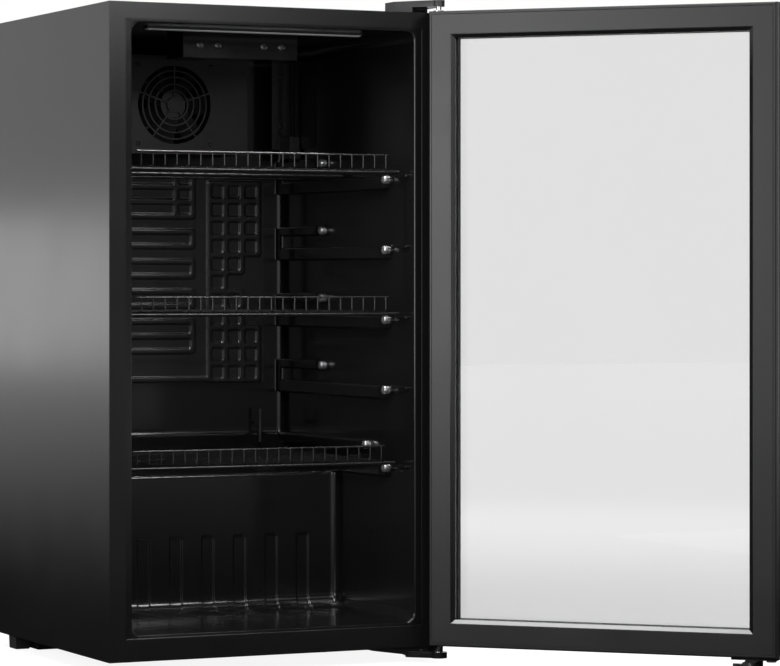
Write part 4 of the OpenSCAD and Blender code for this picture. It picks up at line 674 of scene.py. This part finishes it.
# Wire shelves. Thin wires run forward over the cross wires and bend up into the fence.
# cross, thin and rail are radii, over is how high the cross wires lie above the shelf's level, and bite is how
# deep one wire is welded into the next. Each shelf has its level, its front cross wire's y and its body.
wires = {"cross": 2.5, "thin": 1.1, "rail": 1.6, "n": 22, "span": 353, "railHalf": 183, "crossHalf": 199,
         "mid": 180, "rear": 330, "fence": 27, "bend": 3.2, "over": 6.3, "bite": 0.5,
         "shelves": {"shelf_top": (628, 40, "upper_shelf"), "shelf_middle": (437.33, 40, "middle_shelf"),
                     "shelf_bottom": (236, 54, "lower_shelf")}}


def capsule(x0, x1, y, z, r, sides=12):  # rod from left to right with round ends
    a = np.linspace(0, pi / 2, 5)
    shape = np.concatenate([np.stack([r * np.sin(a), x0 + r - r * np.cos(a)], -1),
                            np.stack([r * np.cos(a), x1 - r + r * np.sin(a)], -1)])
    return spin((0, y, z), shape, "x", sides)


def makeShelf(p, node, level, y, body):
    crossZ = level + p["over"] + p["cross"]
    wireZ = crossZ + p["cross"] + p["thin"] - p["bite"]
    railZ = level + 6 + p["fence"] - p["rail"]
    fenceY = y - p["cross"] - p["thin"] + p["bite"]
    railY = fenceY + p["thin"] + p["rail"] - 0.6
    half, steps = p["crossHalf"], (0, p["mid"], p["rear"])
    parts = [capsule(-half, half, y + step, crossZ, p["cross"], 14) for step in steps]
    parts.append(capsule(-p["railHalf"], p["railHalf"], railY, railZ, p["rail"]))
    for x in np.linspace(-p["span"] / 2, p["span"] / 2, p["n"]):
        corners = [(x, y + p["rear"] + p["cross"] + 0.5, wireZ), (x, fenceY, wireZ), (x, fenceY, railZ + 0.4)]
        parts.append(tube(rounded(corners, [0, p["bend"], 0], 5, closed=False), p["thin"], 8, (1, 0, 0)))
    build(pieceName(node), parts, "wireCoat", body, (node,), 50)


for node, (level, y, body) in wires["shelves"].items():
    makeShelf(wires, node, level, y, body)

# Cooling plate. Raised channels run round square cells on the right and flat islands on the left. rows holds how
# many cells each row has, loops the first and last island of each loop. In the first loop each island is split
# in two at shortX. step is the grid's pitch, slope the width of a channel's flank.
plate = {"half": 171, "low": 344, "top": 655, "face": 433.5, "thick": 1.5, "rise": 1.5, "step": 1.2,
         "channel": 7, "left": 12, "rows": [3, 3, 3, 3, 2, 1, 2, 2, 3, 3, 3], "pitch": 26, "cell": 18,
         "cellIn": 36, "field": 81.5, "loops": [[0, 2], [4, 4], [6, 6], [8, 8], [10, 11]], "island": 21.4,
         "islandH": 14, "islandIn": 19, "loopX": 63, "shortX": 30, "slope": 1.0, "round": 3.5, "post": 4,
         "postIn": 12, "wall": 443}


# Height over a grid of x and z. Every patch is a round rectangle, whose distance is the length of
# (|place - middle| - half size + r) beyond zero, less r. Channels are where the distance to the outer
# patches is below zero and the distance to every cell and island is above zero.
def makePlate(p):
    x = np.linspace(-p["half"], p["half"], int(2 * p["half"] / p["step"]))[:, None]
    z = np.linspace(p["low"], p["top"], int((p["top"] - p["low"]) / p["step"]))[None]

    def patch(x0, x1, z0, z1, r):
        dx, dz = np.abs(x - (x0 + x1) / 2) - (x1 - x0) / 2 + r, np.abs(z - (z0 + z1) / 2) - (z1 - z0) / 2 + r
        return np.hypot(np.maximum(dx, 0), np.maximum(dz, 0)) + np.minimum(np.maximum(dx, dz), 0) - r

    left, ch, half, r = p["left"] - p["half"], p["channel"], p["cell"] / 2, p["round"]
    cellX, cellZ = p["field"] + ch + half, p["top"] - p["cellIn"]
    outer, inner = [], []
    for i, count in enumerate(p["rows"]):
        zc, end = cellZ - i * p["pitch"], cellX + (count - 1) * p["pitch"] + half + ch
        outer.append(patch(p["field"], end, zc - p["pitch"] / 2 - 2, zc + p["pitch"] / 2 + 2, 5))
        cells = [cellX + k * p["pitch"] for k in range(count)]
        inner += [patch(xc - half, xc + half, zc - half, zc + half, r) for xc in cells]
    outer.append(patch(left, p["field"] + 6, p["low"] + 2, p["low"] + 2 + ch, 3))
    h = p["islandH"] / 2
    for first, last in p["loops"]:
        zs = [p["top"] - p["islandIn"] - i * p["island"] for i in range(first, last + 1)]
        outer.append(patch(left, p["loopX"], zs[-1] - h - ch, zs[0] + h + ch, 6))
        for zc in zs:
            end = p["shortX"] if first == 0 else p["loopX"] - ch
            inner.append(patch(left + ch, end, zc - h, zc + h, r))
            if first == 0:
                inner.append(patch(end + ch, p["loopX"] - ch, zc - h, zc + h, r))
    d = np.maximum(np.minimum.reduce(outer), -np.minimum.reduce(inner))
    t = np.clip(0.5 - d / (2 * p["slope"]), 0, 1)
    rise = p["rise"] * t * t * (3 - 2 * t)
    rise[[0, -1]], rise[:, [0, -1]] = 0, 0
    front = cab(x + 0 * z, p["face"] - rise, z + 0 * x)
    idx = np.arange(front[..., 0].size).reshape(front.shape[:2])
    edge = np.concatenate([idx[:-1, 0], idx[-1, :-1], idx[:0:-1, -1], idx[0, :0:-1]])
    points = front.reshape(-1, 3)
    rim = points[edge] + np.array([0, p["thick"] / 1000, 0])
    back = idx.size + np.arange(len(edge))
    sides = np.stack([edge, back, np.roll(back, -1), np.roll(edge, -1)], -1)
    mesh = bpy.data.meshes.new("coolingPlate")
    faces = quads(idx) + sides.tolist() + [back.tolist()]
    mesh.from_pydata(np.concatenate([points, rim]).tolist(), [], faces)
    tidy(mesh)
    settle("coolingPlate", mesh, "platePaint", "cabinet", ("cooling_plate",), 60)
    post = [(0, p["face"] + 0.5), (p["post"], p["face"] + 0.5), (p["post"], p["wall"]), (0, p["wall"])]
    posts = [spin((side * (p["half"] - p["postIn"]), 0, height), post, "y", 20)
             for side in (-1, 1) for height in (p["low"] + p["postIn"], p["top"] - p["postIn"])]
    build("platePosts", posts, "mouldedPlastic", "cabinet", ("cooling_plate",))


makePlate(plate)
print("shelves and cooling plate ready")

# Door, in its closed place: x0..x1 and z0..z1 are its edges, u runs inwards from them, v out of the gasket's
# face. rear, inner and outer are how far the flanges reach in, bead and bevelIn are the bevel's two edges.
door = {"x0": -238, "x1": 235, "z0": 4, "z1": 850, "gap": 0.5, "thick": 38, "gasket": 8, "wall": 2, "rear": 22,
        "inner": 20, "lip": 6, "outer": 33, "band": 31, "bead": 30.6, "bevelIn": 36.8, "bevelDeep": 3.6,
        "channelIn": 36.6, "glass": 12, "grip": {"from": 16, "to": 30, "deep": 9}}


# Profile carried round the door: at each corner a point stands u inwards along both edges, so mitres form.
# sides picks which corners the piece runs between: all four for a ring, or two for one member.
def doorRing(name, profile, look, stands, sides=None, sharp=30):
    u, v = np.array(profile, float).T
    x0, x1, z0, z1 = door["x0"] + u, door["x1"] - u, door["z0"] + u, door["z1"] - u
    corners = [(x0, z0), (x1, z0), (x1, z1), (x0, z1)]
    if sides:
        corners = [corners[k] for k in sides]
    grid = np.stack([cab(x, -door["gap"] - v, z) for x, z in corners])
    return build(name, [(onDoor(grid), not sides, True, bool(sides))], look, "door", stands, sharp)


# Section of a frame member: a folded strip that goes in along the rear flange, out through the wall and round
# the front flange. The free stile has a grip groove in its outer face.
def makeDoor(d):
    g, w, t, grip = d["gasket"], d["wall"], d["thick"], d["grip"]
    rearFlange = [(0, g), (d["rear"], g), (d["rear"], g + w), (w, g + w)]
    frontFlange = [(w, t - w), (d["inner"], t - w), (d["inner"], t - d["lip"]), (d["outer"], t - d["lip"]),
                   (d["outer"], t), (0, t)]
    a, b, deep = grip["from"], grip["to"], grip["deep"]
    bump = [(w, a - w), (deep + w, a - w), (deep + w, b + w), (w, b + w)]
    groove = [(0, b), (deep, b), (deep, a), (0, a)]
    plain = rounded(rearFlange + frontFlange, [0.8] + [0] * 6 + [1.2, 1.2, 3.2], 4)
    gripped = rounded(rearFlange + bump + frontFlange + groove,
                      [0.8] + [0] * 10 + [1.2, 1.2, 3.2, 1.0, 2.5, 2.5, 1.0], 4)
    for node, loop, sides in (("door_bottom_rail", plain, (0, 1)), ("door_top_rail", plain, (2, 3)),
                              ("door_hinge_stile", plain, (1, 2)), ("door_free_stile", gripped, (3, 0))):
        doorRing(pieceName(node), loop, "doorPaint", (node,), sides)
    lips = [(0.6, g), (0.6, 1.6), (2.4, 0), (4.4, 0), (4.8, 0.5), (5.2, 0), (d["band"], 0), (d["band"], g - 0.4),
            (14, g - 0.4), (14, g)]
    doorRing("doorGasket", rounded(lips, [0, 1.1, 0.9, 0.15, 0, 0.15, 0.5, 0, 0, 0], 3), "gasketVinyl",
             ("door_gasket",))
    bevelled = [(d["bead"], 0.5), (31.6, 0.35), (d["bevelIn"], d["bevelDeep"]),
                (d["bevelIn"], d["bevelDeep"] + 1.6), (d["bead"], 5)]
    doorRing("glazingBevel", rounded(bevelled, [0, 0.3, 0.5, 0, 0], 3), "beadPlastic", ("glazing_bead",))
    channel = [(d["rear"], g), (d["bead"], g), (d["bead"], 5), (d["channelIn"], 5), (d["channelIn"], d["glass"]),
               (d["rear"], d["glass"])]
    doorRing("glazingChannel", channel, "spacerBlack", ("glazing_bead",))


makeDoor(door)
for node, look in {"pane_spacer": "spacerBlack", "corner_keys": "mouldedPlastic", "inner_pane": "paneGlass",
                   "outer_pane": "paneGlass"}.items():
    keep(node, look)

# Hinges. Turned parts are given as (radius, height), and the pins take their ends from the frame. The bottom pin
# has a collar that carries the door.
hinge = {"x": 227, "y": -21, "r": 3.5, "tip": 2.9, "collar": 5.5, "collarLow": -5, "collarTop": 2.2,
         "bush": [(3.55, 0.3), (4.0, 0), (5, 0), (5, 14), (7.2, 14), (7.5, 14.3), (7.5, 15.2), (7.2, 15.5),
                  (4.2, 15.5), (3.55, 15.1), (3.55, 0.3)], "topBush": 836, "lowBush": 18}


def turned(name, shapes, body, stands, swings=False):
    parts = [spin((hinge["x"], hinge["y"], 0), shape, "z", 36) for shape in shapes]
    if swings:
        parts = [(onDoor(grid), *rest) for grid, *rest in parts]
    return build(name, parts, "brightSteel", body, stands, 35)


def makePins(p):
    r, tip, collar, low, top = (p[k] for k in ("r", "tip", "collar", "collarLow", "collarTop"))
    foot, head = (v[2] for v in reach("top_hinge_pin"))
    shape = [(0, foot), (tip, foot), (r, foot + 0.8), (r, head - 0.8), (3.0, head), (0, head)]
    turned("topHingePin", [shape], "cabinet", ("top_hinge_pin",))
    foot, head = (v[2] for v in reach("bottom_hinge_pin"))
    shape = [(0, foot), (r, foot), (r, low), (collar, low), (collar, top - 0.2), (collar - 0.3, top), (r, top),
             (r, head - 0.6), (tip, head), (0, head)]
    turned("bottomHingePin", [shape], "cabinet", ("bottom_hinge_pin",))
    bushes = [[(r, p["topBush"] + h) for r, h in p["bush"]], [(r, p["lowBush"] - h) for r, h in p["bush"]]]
    turned("doorBushes", bushes, "door", ("door_bushes",), True)


makePins(hinge)
softenAll({"top_hinge_bracket": ("powderCoat", "cabinet", 0.5),
           "top_hinge_cover": ("mouldedPlastic", "cabinet", 0.9, 3),
           "bottom_hinge_bracket": ("powderCoat", "cabinet", 0.8, 3),
           "lock_bracket": ("powderCoat", "door", 0.6, 3), "lock_plug": ("brightSteel", "lock_cylinder", 0.4)})


# Screw heads with a cross recess. Over a disc the height is a flat rim, then a dome h sqrt(1 - r^2), and it
# drops to a floor where |x| or |y| is below the slot's half width and r is below its reach.
screws = {"rings": 11, "turns": 40, "slot": 0.13, "reach": 0.56, "floor": 0.35, "fan": 3.5, "box": 5.7,
          "high": 2.2, "boxHigh": 3, "fanAt": (-2.5, 350, 738), "fanOut": 55, "rear": (186, 408),
          "side": (203.8, 378), "cover": (713, 785), "boxX": (-59.5, -33, 34, 60), "boxAt": (120, 806.4)}


def screwHead(centre, r, h, axis, p):  # looks forward along y, or towards the left along x
    q = np.concatenate([np.linspace(0, 0.6, p["rings"]), [0.72, 0.84, 0.93, 1.0, 1.0]])[::-1, None]
    turn = np.linspace(0, 2 * pi, p["turns"], endpoint=False)[None]
    a, b = q * np.cos(turn), q * np.sin(turn)
    dome = h * (0.3 + 0.7 * np.sqrt(np.clip(1 - q ** 2, 0, 1))) + 0 * a
    cross = ((np.abs(a) < p["slot"]) | (np.abs(b) < p["slot"])) & (q < p["reach"])
    up = np.where(cross, p["floor"] * h, dome)
    up[0] = 0
    x, y, z = (-up, a * r, b * r) if axis == "x" else (a * r, -up, b * r)
    return cab(centre[0] + x, centre[1] + y, centre[2] + z), False, True, True


def makeScrews(p):
    (x, y, z), out = p["fanAt"], (-p["fanOut"], p["fanOut"])
    spots = [((x + dx, y, z + dz), "y") for dx in out for dz in out]
    spots += [((*p["rear"], height), "y") for height in p["cover"]]
    spots += [((*p["side"], height), "x") for height in p["cover"]]
    panel = [screwHead(spot, p["fan"], p["high"], axis, p) for spot, axis in spots]
    box = [screwHead((across, *p["boxAt"]), p["box"], p["boxHigh"], "y", p) for across in p["boxX"]]
    build("panelScrews", panel, "mouldedPlastic", "cabinet", ("interior_screws",), 50)
    build("boxScrews", box, "darkZinc", "cabinet", ("interior_screws",), 50)


makeScrews(screws)
softenAll({"hinge_screws": ("zincSteel", "cabinet", 0.4), "lock_screws": ("zincSteel", "door", 0.5)})
print("door, hinges and lock ready")

# Air parts, control box, light and the rear corner.
softenAll({"fan_panel": ("panelPlastic", "cabinet", 0.6), "fan_frame": ("panelPlastic", "cabinet", 0.6),
           "control_box": ("linerPlastic", "cabinet", 1.4, 3)})
wing = {"from": 200, "to": 205.2, "slice": 1}


def taperWing(made, p):  # the corner cover's side wing thins to nothing at its front
    co = readPoints(made.data)
    x, y, z = inMm(co).T
    front = (y < reach("corner_cover")[0][1] + p["slice"]) & (x > p["from"])
    co[:, 0] += front * np.maximum(p["to"] - x, 0) / 1000
    made.data.vertices.foreach_set("co", co.ravel())


taperWing(softened("corner_cover", "panelPlastic", "cabinet", 0.3), wing)
softened("tube_clip", "panelPlastic", "cabinet", 0.6)

# Light bar: a shallow housing under the ceiling, and a lens that is inset all round and hangs a little lower.
lightBar = {"half": 156, "front": 67, "back": 83, "top": 824.6, "face": 821.8, "lens": 820.4, "inset": 2,
            "r": 0.5}


def makeLight(p):
    half, front, back, n = p["half"], p["front"], p["back"], p["inset"]
    housing = softBox((-half, front, p["face"]), (half, back, p["top"]), p["r"])
    lens = softBox((n - half, front + n, p["lens"]), (half - n, back - n, p["face"] + 0.6), p["r"])
    build("lightHousing", [housing], "panelPlastic", "cabinet", ("light_housing",))
    build("lightLens", [lens], "frostedLens", "cabinet", ("light_lens",))


makeLight(lightBar)
softenAll({"fan_rotor": ("mouldedPlastic", "fan", 0.3), "drain_cup": ("mouldedPlastic", "cabinet", 0.5),
           "temperature_probe": ("softRubber", "cabinet", 0.8), "thermostat": ("mouldedPlastic", "cabinet", 0.4),
           "riser_tube": ("spacerBlack", "cabinet", 0.4)})

# Machine bay, condenser and rear parts.
softenAll({"compressor_tray": ("powderCoat", "cabinet", 0.4), "compressor": ("compressorPaint", "cabinet", 0.8),
           "start_relay": ("mouldedPlastic", "cabinet", 1.5, 3), "drip_tray": ("mouldedPlastic", "cabinet", 0.4),
           "grommets": ("softRubber", "cabinet", 0.8), "compressor_bolts": ("zincSteel", "cabinet", 0.5),
           "filter_drier": ("copperTube", "cabinet", 0.5), "cord_gland": ("softRubber", "cabinet", 0.4),
           "condenser": ("wireCoat", "cabinet", 0.2, 1)})
keep("discharge_pipe", "copperTube")
keep("suction_pipe", "copperTube")

# Front feet: turned pads with a stud, as (radius, height). Rear feet: blocks that narrow a little towards the
# floor, as loops of (inset, height), each with a turned stud.
frontFeet = {"y": 175, "at": {"foot_front_left": (-145, "foot_fl"), "foot_front_right": (145, "foot_fr")},
             "pad": [(0, -20), (10.6, -20), (12, -18.6), (12, -3.2), (11, -0.6), (10.4, -0.35), (4.4, -0.35),
                     (4.0, 0.2), (4.0, 8.8), (3.2, 9.9), (0, 9.9)]}
rearFeet = {"x": 215.7, "y": 396.5, "w": 22, "d": 29, "r": 1.2,
            "at": {"foot_rear_left": -1, "foot_rear_right": 1},
            "loops": [(0, 0.0), (0, -0.5), (0.7, -18.8), (1.0, -19.6), (1.9, -20)],
            "stud": [(0, -0.2), (4, -0.2), (4, 9), (3.2, 10), (0, 10)]}


def makeFeet(front, rear):
    for node, (x, body) in front["at"].items():
        pad = spin((x, front["y"], 0), front["pad"], "z", 40)
        build(pieceName(node), [pad], "mouldedPlastic", body, (node,), 30)
    halfW, halfD = rear["w"] / 2, rear["d"] / 2
    for node, side in rear["at"].items():
        x, y = side * rear["x"], rear["y"]
        block = []
        for c, h in rear["loops"]:
            rect = roundRect(x - halfW + c, y - halfD + c, x + halfW - c, y + halfD - c, rear["r"])
            block.append(cab(*rect.T, h))
        parts = [(np.stack(block), False, True, True), spin((x, y, 0), rear["stud"], "z", 24)]
        build(pieceName(node), parts, "mouldedPlastic", "cabinet", (node,), 30)


makeFeet(frontFeet, rearFeet)
print("cabinet inside, rear and feet ready")

bpy.context.view_layer.update()
